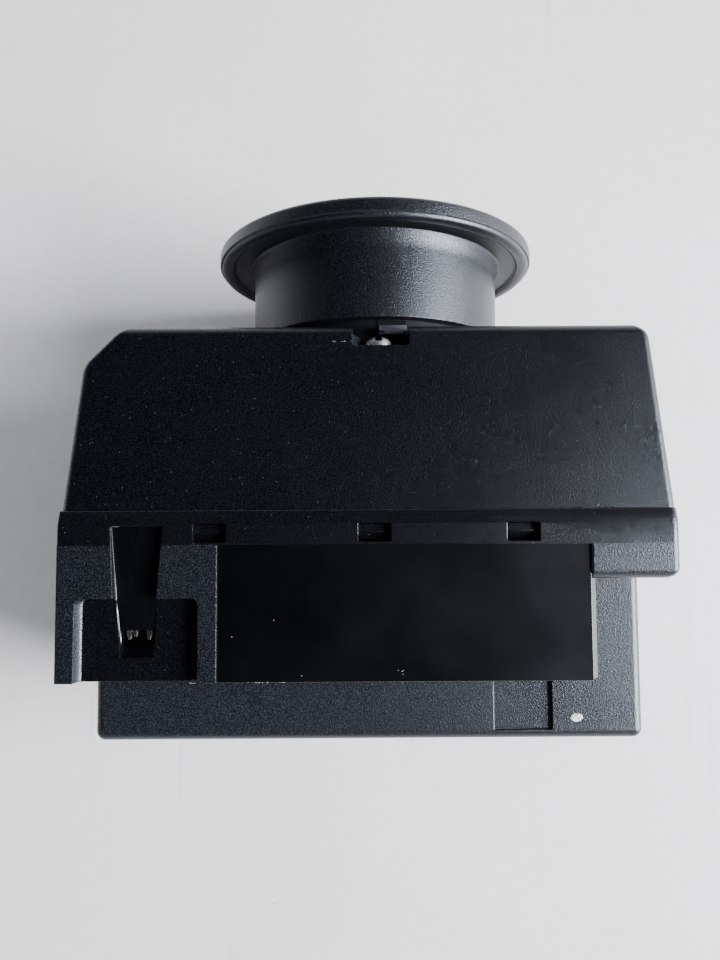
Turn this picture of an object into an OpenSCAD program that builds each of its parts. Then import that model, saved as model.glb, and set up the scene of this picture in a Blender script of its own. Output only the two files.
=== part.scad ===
// Electronic ignition switch module: a key-slot rotor in a round collar, a lock
// mechanism in a tapered front shell, and a circuit board with two connector
// sockets in a rear housing. The module lies on its back: +Y runs from the
// connectors to the collar, +Z from the face it lies on to the opposite face.

/* [Housing] */
// Width across the rear lip
body_w = 77; // [76:1:96]
// Thickness across the rear lip
body_t = 51; // [51:1:66]
// Depth of the rear housing, from the lip's front edge to the rear wall
rear_len = 31.5; // [31:0.5:45]
// Depth of the front shell, from the lip's front edge to the front wall
shell_len = 24; // [24:0.5:34]
// Wall thickness of the mouldings
wall = 1.8; // [1.6:0.1:2.2]
// Depth of the lip band along Y
lip_len = 4.3; // [4.3:0.1:6]
// Length of the sloping front part of the lip band
lip_slope = 1.7; // [1.2:0.1:1.7]
// Radius of the lip band's right-hand corners
lip_r = 1; // [0.5:0.5:3]

/* [Front shell] */
// How far the shell stands in from the lip's top and bottom faces at the joint
shell_step = 0.8; // [0.6:0.1:1]
// How far the shell tapers in on its top and bottom faces
shell_taper_z = 2.2; // [1:0.1:2.4]
// How far the shell tapers in on its two sides
shell_taper_x = 1.9; // [1:0.1:3]
// Sideways run of the chamfered corner
corner_run_x = 4.7; // [2:0.1:6]
// Fore-and-aft run of the chamfered corner
corner_run_y = 5.2; // [2:0.1:7]
// Radius of the shell's edges
shell_r = 1.5; // [1:0.5:3]
// Width of the screw notch in the front edge
notch_w = 7.3; // [6:0.1:9]
// Depth of the screw notch along Y
notch_d = 2.75; // [2:0.05:3]
// Sideways shift of the notch from the collar's axis
notch_shift = 0.25; // [0:0.05:0.5]

/* [Rear body and hood] */
// Width of the rear body
rear_w = 75.6; // [72:0.1:76]
// Height of the rear body's top face above the table
rear_h = 39; // [37:0.5:40]
// Corner radius of the rear body
rear_r = 1.3; // [1:0.1:3]
// How far the connector hood reaches behind the lip
hood_len = 16.8; // [16:0.1:20]
// Reach of the connector hood across, from the rear body's left side
hood_w = 66.2; // [62:0.1:67]
// How far the right-hand ear reaches behind the lip
ear_len = 4.45; // [4:0.05:6]
// Width of the shallow channel on the rear body
channel_w = 8; // [5:0.5:10]
// Depth of the shallow channel
channel_d = 0.8; // [0.6:0.1:1.6]
// Distance of the channel's middle from the centre line
channel_x = 21.2; // [10:0.1:24]

/* [Label plate] */
// Width of the blank label plate
label_w = 46.15; // [40:0.05:48]
// Thickness of the blank label plate
label_t = 0.45; // [0.2:0.05:0.6]
// Depth of the flat that carries the plate
label_flat = 0.8; // [0.6:0.1:1]

/* [Collar] */
// Reach of the collar in front of the shell
collar_len = 17.2; // [16:0.1:20]
// Sideways offset of the collar's axis from the centre line
collar_x = 1.5; // [0:0.1:3]
// Neck diameter
neck_d = 38.2; // [38:0.1:39]
// Flange diameter
flange_d = 49; // [46:0.5:50]
// Gap between the front wall and the neck's rear edge
neck_gap = 2; // [1:0.05:2.5]
// Thickness of the flange, from its seat to its tip
flange_t = 3; // [2.6:0.1:3.4]
// Width of the rounded bead around the flange's seat
bead_w = 2.1; // [1.5:0.1:2.5]
// Height of the bead behind the seat
bead_h = 0.6; // [0.3:0.1:0.9]
// Radius of the opening around the rotor's face
mouth_r = 16.2; // [16:0.1:17]

/* [Lock] */
// Radius of the rotor's barrel
rotor_r = 15.55; // [15:0.05:15.6]
// Radial running clearance of the rotor
run_gap = 0.05; // [0.03:0.01:0.1]
// Key slot width
slot_w = 14.4; // [12:0.1:16]
// Key slot height
slot_h = 7.6; // [6:0.1:9]
// Depth of the rotor's face behind the collar's tip
face_set = 1.55; // [1:0.05:3]
// Travel of the key pusher
push_travel = 6; // [3:0.5:6]
// Radius of the rotor's rear journal
journal_r = 8; // [7.5:0.1:9]
// Radius of the rotor's cam
cam_r = 15; // [14:0.5:16]
// Radius of the interlock plunger
bolt_r = 2; // [1.5:0.1:2.4]
// Travel of the interlock plunger
bolt_travel = 2.5; // [1.5:0.1:3]
// Travel of the detent plunger
detent_travel = 0.9; // [0.5:0.1:1.2]
// Travel of the position switch's plunger
switch_travel = 0.8; // [0.4:0.1:1]

/* [Circuit board and connectors] */
// Thickness of the circuit board
board_t = 1.6; // [1:0.1:2]
// Distance from the lip's front edge to the board's rear face
board_set = 6.75; // [6.5:0.05:8]
// Pitch of the contact pins
pitch = 2.54; // [2:0.02:2.54]
// Side of a square contact pin
pin_w = 0.64; // [0.5:0.02:0.8]
// Columns of pins in the small socket
small_cols = 5; // [2:1:5]
// Columns of pins in the large socket
large_cols = 8; // [4:1:8]
// Power blades in the large socket
blade_count = 4; // [1:1:4]
// Height of both sockets
socket_h = 7.5; // [7:0.1:8]
// Width of the small socket
small_w = 15.4; // [14:0.1:16]
// Width of the large socket
large_w = 44; // [40:0.5:44]

/* [Hidden] */
$fn = 96;

cut = 0.5;          // how far a cutting tool runs past the face it opens
clear = 0.3;        // gap between pieces of different bodies
slip = 0.2;         // gap between mouldings that slide together

// Places along Y, from the rear wall to the collar's tip.
total_len = rear_len + shell_len + collar_len;
y_rear = -total_len / 2;
y_step = y_rear + rear_len;
y_lip = y_step - lip_len;
y_hood = y_lip - hood_len;
y_ear = y_lip - ear_len;
y_front = y_step + shell_len;
y_tip = y_front + collar_len;
y_seat = y_tip - flange_t;
y_face = y_tip - face_set;
y_board = y_step - board_set;
y_wall = y_front - wall;

// Places across X and up Z.
axis_z = body_t / 2;
hood_x0 = -body_w / 2;
hood_x1 = -rear_w / 2 + hood_w;
hood_z0 = rear_h;
lip_wall_x = body_w / 2 - wall;
label_x1 = hood_x1 - 1;
label_x0 = label_x1 - label_w;

// Connector sockets: rows of pins stand level with the middle of the sockets.
socket_z0 = hood_z0 + 1.5;
socket_z1 = socket_z0 + socket_h;
row_z = (socket_z0 + socket_z1) / 2;
socket_floor = y_lip - 6.35;
small_x = -rear_w / 2 + 9.35;
large_x = label_x0 + large_w / 2 + 1.1;
tip_y = socket_floor - 5.9;
tail_y = y_board + board_t + 0.6;

// ---------------------------------------------------------------- outlines

function unit(v) = v / norm(v);

// Points of the arc that rounds corner b of the path a-b-c.
function corner(a, b, c, r, n = 6) =
    r == 0 ? [b] :
    let (
        u = unit(a - b),
        w = unit(c - b),
        half = acos(u * w) / 2,
        o = b + unit(u + w) * r / sin(half),
        p0 = b + u * r / tan(half) - o,
        p1 = b + w * r / tan(half) - o,
        a0 = atan2(p0.y, p0.x),
        turn = atan2(p1.y, p1.x) - a0,
        arc = turn > 180 ? turn - 360 : turn < -180 ? turn + 360 : turn
    )
    [for (i = [0:n]) o + r * [cos(a0 + arc * i / n), sin(a0 + arc * i / n)]];

// A closed outline with each corner rounded by its own radius.
function rounded(pts, rs) = [
    for (i = [0:len(pts) - 1])
        each corner(pts[(i + len(pts) - 1) % len(pts)], pts[i], pts[(i + 1) % len(pts)], rs[i])
];

function box_pts(x0, x1, y0, y1) = [[x0, y0], [x1, y0], [x1, y1], [x0, y1]];

// An outline drawn in X and Y, extruded up Z.
module plan(pts, z0, z1) translate([0, 0, z0]) linear_extrude(z1 - z0) polygon(pts);

// An outline drawn in X and Z, extruded along Y.
module front(pts, y0, y1) translate([0, y1, 0]) rotate([90, 0, 0]) linear_extrude(y1 - y0) polygon(pts);

// An outline drawn in Y and Z, extruded along X.
module side(pts, x0, x1) translate([x0, 0, 0]) rotate([90, 0, 90]) linear_extrude(x1 - x0) polygon(pts);

module block(x0, x1, y0, y1, z0, z1) translate([x0, y0, z0]) cube([x1 - x0, y1 - y0, z1 - z0]);

// A shape drawn about Z is set on the collar's axis, with its Z pointing along +Y.
module on_axis(y = 0) translate([collar_x, y, axis_z]) rotate([-90, 0, 0]) children();

// A straight cylinder on the collar's axis.
module drum(r, y0, y1) on_axis(y0) cylinder(r = r, h = y1 - y0);

// A straight cylinder along Y at a given place.
module rod_y(x, z, r, y0, y1) translate([x, y0, z]) rotate([-90, 0, 0]) cylinder(r = r, h = y1 - y0, $fn = 48);

// A straight cylinder that points away from the collar's axis at angle a from +X towards +Z.
module spoke(a, r, from, to, y) translate([collar_x, y, axis_z]) rotate([0, -a, 0])
    translate([from, 0, 0]) rotate([0, 90, 0]) cylinder(r = r, h = to - from, $fn = 48);

// A round wire wound along +Z, as one closed tube with flat ends.
module coil(r, wire_r, z0, z1, turns, steps = 20, sides = 6) {
    n = round(turns * steps);
    function at(i) = let (a = 360 * turns * i / n) [r * cos(a), r * sin(a), z0 + (z1 - z0) * i / n];
    function ring(i) = let (a = 360 * turns * i / n, p = at(i))
        [for (k = [0:sides - 1]) let (b = 360 * k / sides)
            p + wire_r * [cos(b) * cos(a), cos(b) * sin(a), sin(b)]];
    points = [for (i = [0:n]) each ring(i)];
    polyhedron(points, concat(
        [[for (k = [0:sides - 1]) k]],
        [[for (k = [sides - 1:-1:0]) n * sides + k]],
        [for (i = [0:n - 1], k = [0:sides - 1]) let (q = (k + 1) % sides)
            [i * sides + k, (i + 1) * sides + k, (i + 1) * sides + q, i * sides + q]]));
}

// ------------------------------------------------------------- front shell

// The shell's solid form, or its hollow when inset by the wall.
module shell_form(inset = 0, y0 = y_step, y1 = y_front) {
    half = body_w / 2 - 0.25 - inset;
    nose = body_w / 2 - shell_taper_x - inset;
    low = shell_step + inset;
    r = max(shell_r - inset, 0.4);
    front_y = y_front - inset;
    rear_y = y_step;
    bite = inset * 0.41;
    intersection() {
        plan(rounded([
            [-half, rear_y], [half, rear_y], [nose, front_y],
            [-nose + corner_run_x + bite, front_y],
            [-nose - 0.2, front_y - corner_run_y - bite]],
            [0, 0, r, r, r]), 0, body_t);
        side(rounded([
            [rear_y, low], [front_y, low + shell_taper_z],
            [front_y, body_t - low - shell_taper_z], [rear_y, body_t - low]],
            [0, r, r, 0]), -body_w, body_w);
        front(rounded(box_pts(-half, half, low, body_t - low), [r, r, r, r]), y0, y1);
    }
}

screw_set = notch_d + wall;               // the seat's inner face lies this far behind the front wall
screw_reach = neck_d / 2 + 0.8;           // distance of a collar screw from the collar's axis
screw_head_r = 2;
screw_head_h = 1.6;
screw_shank_r = 1;
notch_x = collar_x + notch_shift;
pillar_x = 30;
pillar_z = 16.5;                          // half the spacing of the frame pillars up Z
pillar_r = 3;
tap_r = 1.2;
pillar_y = y_step + 13.85;                // joint between the shell's bosses and the frame's pillars

module at_pillars() for (sx = [-1, 1], sz = [-1, 1]) translate([sx * pillar_x, 0, axis_z + sz * pillar_z]) children();

// Runs its children once for the upper and once for the lower half, mirrored about the axis.
module both_faces() for (m = [0, 1]) translate([0, 0, m * body_t]) mirror([0, 0, m]) children();

notch_z0 = axis_z + screw_reach - screw_head_r - 0.4;

module notch_block(grow, y0, y1) block(
    notch_x - notch_w / 2 - grow, notch_x + notch_w / 2 + grow, y0, y1, notch_z0 - grow, body_t + cut);

window_x = [-19.7, 0.7, 19.1];            // the three clips on each face
window_w = 4;
window_y0 = y_lip + 0.15;
window_y1 = y_step - lip_slope;
skirt_t = 1.4;
skirt_end = y_lip + 0.85;

module front_shell() color([0.06, 0.06, 0.065]) {
    difference() {
        union() {
            difference() {
                shell_form();
                shell_form(wall, y_step - cut, y_wall);
            }
            intersection() {
                both_faces() notch_block(wall, y_front - screw_set, y_front);
                shell_form();
            }
            intersection() {
                at_pillars() rod_y(0, 0, pillar_r, pillar_y, y_wall + cut);
                shell_form();
            }
            // The skirt that slides inside the lip band.
            front_ring(lip_wall_x - slip, wall + slip, skirt_t, skirt_end, y_step + 2.5);
            both_faces() for (x = window_x) clip_nose(x);
        }
        both_faces() notch_block(0, y_front - notch_d, y_front + cut);
        both_faces() rod_y(collar_x, axis_z + screw_reach, screw_shank_r + 0.2, y_front - screw_set - cut, y_front);
        drum(sleeve_r + 0.1, y_front - screw_set - cut, y_front + cut);
        at_pillars() rod_y(0, 0, tap_r, pillar_y - cut, y_wall - 1);
    }
}

// A rectangular ring: half-width hx, set in by dz from both faces, t thick.
module front_ring(hx, dz, t, y0, y1) difference() {
    front(rounded(box_pts(-hx, hx, dz, body_t - dz), [1, 1, 1, 1]), y0, y1);
    front(rounded(box_pts(-hx + t, hx - t, dz + t, body_t - dz - t), [0.5, 0.5, 0.5, 0.5]), y0 - cut, y1 + cut);
}

// A snap nose on the skirt, which stands in one of the lip's windows.
module clip_nose(x) side([
    [window_y0 + slip, body_t - wall - slip - skirt_t],
    [y_step, body_t - wall - slip - skirt_t],
    [y_step, body_t - wall - slip],
    [window_y1 - slip, body_t - wall - slip],
    [window_y1 - slip, body_t - 0.9],
    [window_y1 - 1, body_t - 0.7],
    [window_y0 + slip, body_t - wall - slip]],
    x - window_w / 2 + slip, x + window_w / 2 - slip);

// ------------------------------------------------------------ rear housing

ledge = 1.2;                              // the board's ledge stands in this far from the side walls
rear_top_t = 2.6;                         // the rear body's top wall, which holds the channel
in_x = rear_w / 2 - wall;
recess_d = 1.5;                           // depth of the latch recess
recess_x0 = small_x - 7.75;
recess_x1 = small_x + 7.35;
recess_y1 = y_lip - 6.55;
ramp_z = body_t - 2.1;
post_x = 30.5;
post_z = [9, 33.5];
post_r = 2.6;

module rear_housing() color([0.08, 0.08, 0.085]) difference() {
    union() {
        lip_band();
        rear_body();
        hood();
        ear();
    }
    // The hollow behind the board, the board's own pocket and the skirt's pocket.
    difference() {
        block(-in_x + ledge, in_x - ledge, y_rear + wall, y_board + cut, wall + ledge, rear_h - rear_top_t);
        for (sx = [-1, 1], z = post_z) rod_y(sx * post_x, z, post_r, y_rear, y_board);
    }
    block(-in_x, in_x, y_board, y_step + cut, wall, body_t - wall);
    block(-lip_wall_x, lip_wall_x, skirt_end - slip, y_step + cut, wall, body_t - wall);
    for (sx = [-1, 1], z = post_z) rod_y(sx * post_x, z, 1, y_board - 10, y_board + cut);
    both_faces() for (x = window_x)
        block(x - window_w / 2, x + window_w / 2, window_y0, window_y1, body_t - wall - cut, body_t + cut);
    socket_cut(small_x, small_w);
    socket_cut(large_x, large_w);
    latch_recess();
    channel();
}

// The lip band, whose front part slopes down towards the shell on both faces.
module lip_band() intersection() {
    front(rounded(box_pts(-body_w / 2, body_w / 2, 0, body_t), [0.3, lip_r, lip_r, 0.3]), y_lip, y_step);
    side([[y_lip, 0], [y_step - lip_slope, 0], [y_step, shell_step - 0.2],
        [y_step, body_t - shell_step + 0.2], [y_step - lip_slope, body_t], [y_lip, body_t]], -body_w, body_w);
}

module rear_body() intersection() {
    plan(rounded(box_pts(-rear_w / 2, rear_w / 2, y_rear, y_lip), [rear_r, rear_r, 0, 0]), 0, rear_h);
    side(rounded(box_pts(y_rear, y_lip, 0, rear_h), [rear_r, 0, 0, rear_r]), -body_w, body_w);
    front(rounded(box_pts(-rear_w / 2, rear_w / 2, 0, rear_h), [rear_r, rear_r, rear_r, rear_r]), y_rear, y_lip);
}

// The connector hood: a full-height block on the left, the label flat on the right.
module hood() {
    block(hood_x0, label_x0, y_hood, y_lip, hood_z0, body_t);
    front([[label_x0, hood_z0], [hood_x1, hood_z0], [hood_x1, body_t - label_flat - 1.2],
        [label_x1, body_t - label_flat], [label_x0, body_t - label_flat]], y_hood, y_lip);
}

module ear() front(rounded(box_pts(hood_x1 - 1, body_w / 2, 0, body_t), [0, lip_r, lip_r, 0]), y_ear, y_lip);

module socket_cut(x, w) {
    front(rounded(box_pts(x - w / 2, x + w / 2, socket_z0, socket_z1), [0.8, 0.8, 0.8, 0.8]), y_hood - cut, socket_floor);
    front(box_pts(x - w / 2 + 1, x + w / 2 - 1, socket_z0 + 0.8, socket_z1 - 0.8), socket_floor - cut, y_board + cut);
}

// The latch's landing: a flat recess, a ramp that crosses the lip, and a window to the socket.
module latch_recess() {
    plan(rounded([[recess_x0, y_hood - cut], [recess_x1, y_hood - cut], [recess_x1, recess_y1], [recess_x0, recess_y1]],
        [0, 0, 0.8, 0.8]), body_t - recess_d, body_t + cut);
    intersection() {
        plan([[small_x - 3.45, y_step - 1.95], [small_x + 2.95, y_step - 1.95], [small_x + 2.25, recess_y1],
            [small_x + 1.55, y_hood + 2.95], [small_x - 2.45, y_hood + 2.95], [small_x - 3.05, recess_y1]],
            ramp_z, body_t + cut);
        side([[y_step - 1.95, body_t - 0.6], [recess_y1, body_t - recess_d], [y_hood + 2.95, ramp_z],
            [y_hood + 2.95, body_t + cut], [y_step - 1.95, body_t + cut]], -body_w, body_w);
    }
    block(small_x - 2.45, small_x + 1.35, y_hood + 2.95, y_hood + 6.2, socket_z1 - cut, body_t);
}

module channel() block(channel_x - channel_w / 2, channel_x + channel_w / 2, y_rear + rear_r, y_hood + 5,
    rear_h - channel_d, rear_h + 2 * channel_d);

module label_plate() color([0.03, 0.03, 0.04])
    block(label_x0, label_x1, y_hood, y_lip, body_t - label_flat, body_t - label_flat + label_t);

module paint_dot() color("white") translate([28.5, y_rear + 2.25 + 0.65, rear_h]) linear_extrude(0.06)
    polygon([for (i = [0:23]) [0.95 * cos(i * 15), 0.62 * sin(i * 15)]]);

// ------------------------------------------------------------------ collar

sleeve_r = neck_d / 2 - 1.3;
sleeve_rear = y_front - 6.55;             // rear end of the sleeve, in front of the rotor's flange
sleeve_front = y_seat + 0.15;
neck_y = y_front + neck_gap;

module collar_ring() color([0.09, 0.09, 0.095]) on_axis() rotate_extrude() polygon(concat(
    [[sleeve_r + 0.05, neck_y], [neck_d / 2, neck_y], [neck_d / 2, y_seat - 2.6], [neck_d / 2 + 0.6, y_seat],
        [flange_d / 2 - bead_w, y_seat], [flange_d / 2 - bead_w, y_seat - bead_h * 0.4]],
    [for (a = [150:-30:0]) [flange_d / 2 - bead_w / 2 + bead_w / 2 * cos(a), y_seat - bead_h * 0.4 - bead_h * 0.6 * sin(a)]],
    [[flange_d / 2, y_seat + 1.6], [flange_d / 2 - 0.6, y_seat + 2.2], [mouth_r + 1.2, y_tip], [mouth_r + 0.4, y_tip - 0.1],
        [mouth_r, y_tip - 0.5], [mouth_r, sleeve_front + 0.1], [sleeve_r + 0.05, sleeve_front + 0.1]]));

tab_x0 = collar_x + 0.1;
tab_x1 = collar_x + 3.8;
tab_y1 = neck_y - 0.2;
tab_z1 = axis_z + sleeve_r + 1.6;
coil_y0 = y_front + 8;                    // the antenna winding's groove, under the collar's neck
coil_y1 = sleeve_front - 1;

module lock_sleeve() color([0.35, 0.35, 0.37]) difference() {
    union() {
        drum(sleeve_r, sleeve_rear, sleeve_front);
        // The clamping flange and the two ears that take the collar screws.
        intersection() {
            union() {
                drum(screw_reach + 1.1, sleeve_rear, y_front - screw_set);
                both_faces() rod_y(collar_x, axis_z + screw_reach, 2.4, sleeve_rear - 5.6, y_front - screw_set);
            }
            shell_form(wall + 0.1, y_step, y_wall);
        }
        // The locating tab in the gap behind the neck, and its end that reaches into the notch.
        block(tab_x0, tab_x1, y_front, tab_y1, axis_z + sleeve_r - 1, tab_z1);
        plan(rounded(box_pts(tab_x0, tab_x1, y_front - 0.45, tab_y1), [0, 0.7, 0, 0]), notch_z0 + 0.25, tab_z1);
    }
    drum(rotor_r + run_gap, sleeve_rear - cut, sleeve_front + cut);
    difference() {
        drum(sleeve_r + cut, coil_y0, coil_y1);
        drum(sleeve_r - 1.1, coil_y0 - cut, coil_y1 + cut);
    }
    drum(rotor_flange_r + clear, sleeve_rear - 8, sleeve_rear);
    both_faces() rod_y(collar_x, axis_z + screw_reach, screw_shank_r, sleeve_rear - 4.6, y_front);
}

module antenna_coil() color([0.72, 0.42, 0.2]) difference() {
    drum(sleeve_r - 0.3, coil_y0, coil_y1);
    drum(sleeve_r - 1.1, coil_y0 - cut, coil_y1 + cut);
}

// A six-pointed drive recess of six small rounds about a round core, cut from y0 to y1.
module star_recess(x, z, r, y0, y1) {
    rod_y(x, z, r * 0.72, y0, y1);
    for (a = [0:60:300]) rod_y(x + r * 0.74 * cos(a), z + r * 0.74 * sin(a), r * 0.26, y0, y1);
}

// A pan-head screw along Y with its head at y and facing sense s.
module pan_screw(x, z, y, s, head_r, head_h, shank_r, shank_l) difference() {
    union() {
        rod_y(x, z, head_r, min(y, y + s * 0.4), max(y, y + s * 0.4));
        rod_y(x, z, head_r * 0.86, min(y, y + s * head_h), max(y, y + s * head_h));
        rod_y(x, z, shank_r, min(y, y - s * shank_l), max(y, y - s * shank_l));
    }
    star_recess(x, z, head_r * 0.52, min(y + s * (head_h - 1), y + s * (head_h + cut)),
        max(y + s * (head_h - 1), y + s * (head_h + cut)));
}

// The two collar screws: a thin flange, a crowned head and a plain slot that lies along Z.
module collar_screws() color("silver") both_faces() translate([collar_x, y_front - notch_d, axis_z + screw_reach])
    difference() {
        rotate([-90, 0, 0]) rotate_extrude($fn = 48) polygon([
            [0, notch_d - screw_set - 5.6], [screw_shank_r, notch_d - screw_set - 5.6], [screw_shank_r, 0],
            [screw_head_r, 0], [screw_head_r, 0.35], [screw_head_r - 0.15, 0.35], [screw_head_r - 0.25, 0.85],
            [screw_head_r - 0.6, 1.3], [screw_head_r - 1.05, screw_head_h], [0, screw_head_h]]);
        block(-0.45, 0.45, screw_head_h - 0.8, screw_head_h + cut, -screw_head_r, screw_head_r);
    }

// ------------------------------------------------- rotor and its followers

rotor_flange_r = rotor_r + 1.65;
flange_y1 = sleeve_rear - 0.4;
flange_y0 = flange_y1 - 1.3;
cam_y0 = flange_y0 - 5.7;
frame_y1 = cam_y0 - 2.7;
frame_y0 = frame_y1 - 2.5;
follow_y = cam_y0 + 2.4;                  // the followers' common plane
journal_y0 = frame_y0 - 1.8;
groove_y0 = frame_y0 - 1.2;
groove_y1 = frame_y0 - 0.4;
slot_floor = flange_y1 - 0.2;
pocket_y1 = slot_floor + push_travel + 2.5;
pocket_w = slot_w + 1.4;
pocket_h = slot_h + 1;
well_r = 3.7;
well_y0 = slot_floor - 10;
face_t = 1.2;

function slot_pts(w, h, r) = rounded(
    box_pts(collar_x - w / 2, collar_x + w / 2, axis_z - h / 2, axis_z + h / 2), [r, r, r, r]);

module rotor() color([0.05, 0.05, 0.055]) difference() {
    union() {
        drum(rotor_r, flange_y1, y_face - face_t);
        drum(rotor_flange_r, flange_y0, flange_y1);
        drum(journal_r, journal_y0, flange_y0);
    }
    front(slot_pts(slot_w, slot_h, 1), slot_floor, y_face);
    front(slot_pts(pocket_w, pocket_h, 1), slot_floor, pocket_y1);
    drum(well_r, well_y0, slot_floor + cut);
    difference() {
        drum(journal_r + cut, groove_y0, groove_y1);
        drum(journal_r - 0.8, groove_y0 - cut, groove_y1 + cut);
    }
}

module rotor_face() color([0.03, 0.03, 0.03]) difference() {
    drum(rotor_r, y_face - face_t, y_face);
    front(slot_pts(slot_w, slot_h, 1), y_face - face_t - cut, y_face + cut);
    difference() {
        drum(rotor_r - 1.6, y_face - 0.5, y_face + cut);
        drum(rotor_r - 2.2, y_face - 1, y_face + 2 * cut);
    }
}

lock_angles = [0, 90];
detent_angles = [180:30:270];
switch_angle = -45;
switch_angles = [switch_angle, switch_angle + 90];

// The cam: notches for the lock plunger, dimples for the detent and for the switch.
module rotor_cam() color([0.75, 0.73, 0.68]) difference() {
    drum(cam_r, cam_y0, flange_y0);
    drum(journal_r, cam_y0 - cut, flange_y0 + cut);
    for (a = lock_angles) spoke(a, bolt_r + slip, cam_r - bolt_travel - 0.2, cam_r + 1, follow_y);
    for (a = detent_angles) spoke(a, 2.2, cam_r - detent_travel - 0.1, cam_r + 1, follow_y);
    for (a = switch_angles) spoke(a, 1.6, cam_r - switch_travel - 0.1, cam_r + 1, follow_y);
}

module rotor_circlip() color("silver") difference() {
    drum(journal_r + 1.6, groove_y0, groove_y1);
    drum(journal_r - 0.8, groove_y0 - cut, groove_y1 + cut);
    block(collar_x - 2.5, collar_x + 2.5, groove_y0 - cut, groove_y1 + cut, axis_z, axis_z + journal_r + 3);
}

module return_spring() color("silver") on_axis()
    coil(journal_r + 2.2, 0.36, frame_y1 + 0.6, cam_y0 - 0.6, 1.6, steps = 30);

module key_pusher() color([0.15, 0.15, 0.16]) difference() {
    union() {
        front(slot_pts(pocket_w - 2 * clear, pocket_h - 2 * clear, 0.8), pocket_y1 - 2.1, pocket_y1 - clear);
        front(slot_pts(slot_w - 4, slot_h - 3, 0.8), pocket_y1 - 2, pocket_y1 + 0.7);
        drum(2.2, pocket_y1 - 2.1 - 7.5, pocket_y1 - 2);
    }
    drum(1.1, pocket_y1 - 0.8, pocket_y1 + 1);
}

module pusher_spring() color("silver") on_axis()
    coil(2.95, 0.28, well_y0 + 0.3, pocket_y1 - 2.4, 8);

// ------------------------------------------------------- frame and lock

guide_x0 = collar_x - cam_r - 12.5;
guide_x1 = collar_x - cam_r - 1;
frame_half = 33;
frame_dz = 20;

module lock_frame() color([0.18, 0.18, 0.19]) difference() {
    union() {
        intersection() {
            front(rounded(box_pts(-frame_half, frame_half, axis_z - frame_dz, axis_z + frame_dz), [3, 3, 3, 3]),
                frame_y0, frame_y1);
            shell_form(wall + 0.2, y_step - 10, y_wall);
        }
        at_pillars() rod_y(0, 0, pillar_r, frame_y1 - cut, pillar_y);
        // The detent's guide, on the left of the cam.
        block(guide_x0, guide_x1, frame_y1 - cut, flange_y0 - clear, axis_z - 3.6, axis_z + 3.6);
        // The seats of the solenoid and of the position switch.
        block(sol_x0 + 1.5, sol_x0 + sol_len - 1.5, frame_y1 - cut, follow_y - sol_half, axis_z - 3, axis_z + 3);
        at_switch() translate([cam_r + switch_gap + 0.5, frame_y1 - cut - follow_y, -4.5])
            cube([5, follow_y - 3 - frame_y1 + cut, 9]);
    }
    drum(journal_r + run_gap, frame_y0 - cut, frame_y1 + cut);
    translate([guide_x0 + 1.2, follow_y, axis_z]) rotate([0, 90, 0]) cylinder(r = 2 + run_gap, h = 20);
    at_pillars() rod_y(0, 0, tap_r + 0.1, frame_y0 - cut, pillar_y + cut);
    // Lightening windows.
    for (sz = [-1, 1]) for (sx = [-1, 1])
        block(sx * 18.5 - 5.5, sx * 18.5 + 5.5, frame_y0 - cut, frame_y1 + cut,
            axis_z + sz * 13 - 3.5, axis_z + sz * 13 + 3.5);
}

module frame_screws() color("silver") at_pillars()
    pan_screw(0, 0, frame_y0, -1, 2.4, 1.5, tap_r, y_wall - 1.5 - frame_y0);

plunger_x = collar_x + cam_r + clear;     // resting place of the plunger's tip
spring_x = bolt_travel + 0.8;               // from the tip to the face that the plunger's spring bears on
sol_x0 = plunger_x + spring_x + 1.2;
sol_len = 13.2;
sol_half = 4.7;

// A steel yoke: two end plates and a bridge, drilled for the plunger.
module solenoid_frame() color("silver") difference() {
    union() {
        block(sol_x0, sol_x0 + 1.2, follow_y - sol_half, follow_y + sol_half, axis_z - sol_half, axis_z + sol_half);
        block(sol_x0 + sol_len - 1.2, sol_x0 + sol_len, follow_y - sol_half, follow_y + sol_half,
            axis_z - sol_half, axis_z + sol_half);
        block(sol_x0, sol_x0 + sol_len, follow_y - sol_half, follow_y + sol_half,
            axis_z - sol_half, axis_z - sol_half + 1);
    }
    translate([sol_x0 - cut, follow_y, axis_z]) rotate([0, 90, 0]) cylinder(r = bolt_r + run_gap, h = 1.2 + 2 * cut);
}

module solenoid_coil() color([0.7, 0.35, 0.15]) translate([sol_x0 + 1.2, follow_y, axis_z + 0.4]) difference() {
    rotate([0, 90, 0]) union() {
        cylinder(r = 4.1, h = 1);
        cylinder(r = 3.8, h = sol_len - 2.4);
        translate([0, 0, sol_len - 3.4]) cylinder(r = 4.1, h = 1);
    }
    translate([-cut, 0, -0.4]) rotate([0, 90, 0]) cylinder(r = bolt_r + clear, h = sol_len);
}

// The interlock plunger, with a small collar that its spring bears on.
module lock_plunger() color("silver") translate([plunger_x, follow_y, axis_z]) rotate([0, 90, 0]) union() {
    translate([0, 0, 0.5]) cylinder(r = bolt_r, h = 12);
    cylinder(r = bolt_r - 0.4, h = 1);
    translate([0, 0, spring_x - 0.6]) cylinder(r = bolt_r + 0.9, h = 0.6);
}

module plunger_spring() color("silver") translate([plunger_x, follow_y, axis_z]) rotate([0, 90, 0])
    coil(bolt_r + 0.5, 0.2, spring_x + 0.25, spring_x + 0.95, 1.5);

detent_r = 2;

module detent_plunger() color("silver") difference() {
    translate([guide_x1 + 1 - clear, follow_y, axis_z]) rotate([0, -90, 0]) union() {
        translate([0, 0, detent_r]) sphere(r = detent_r);
        translate([0, 0, detent_r]) cylinder(r = detent_r, h = 5.5);
    }
    translate([guide_x0, follow_y, axis_z]) rotate([0, 90, 0]) cylinder(r = 1.4, h = 9.5);
}

module detent_spring() color("silver") translate([guide_x0 + 1.2, follow_y, axis_z]) rotate([0, 90, 0])
    coil(1, 0.2, 0.25, 8, 7);

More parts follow.
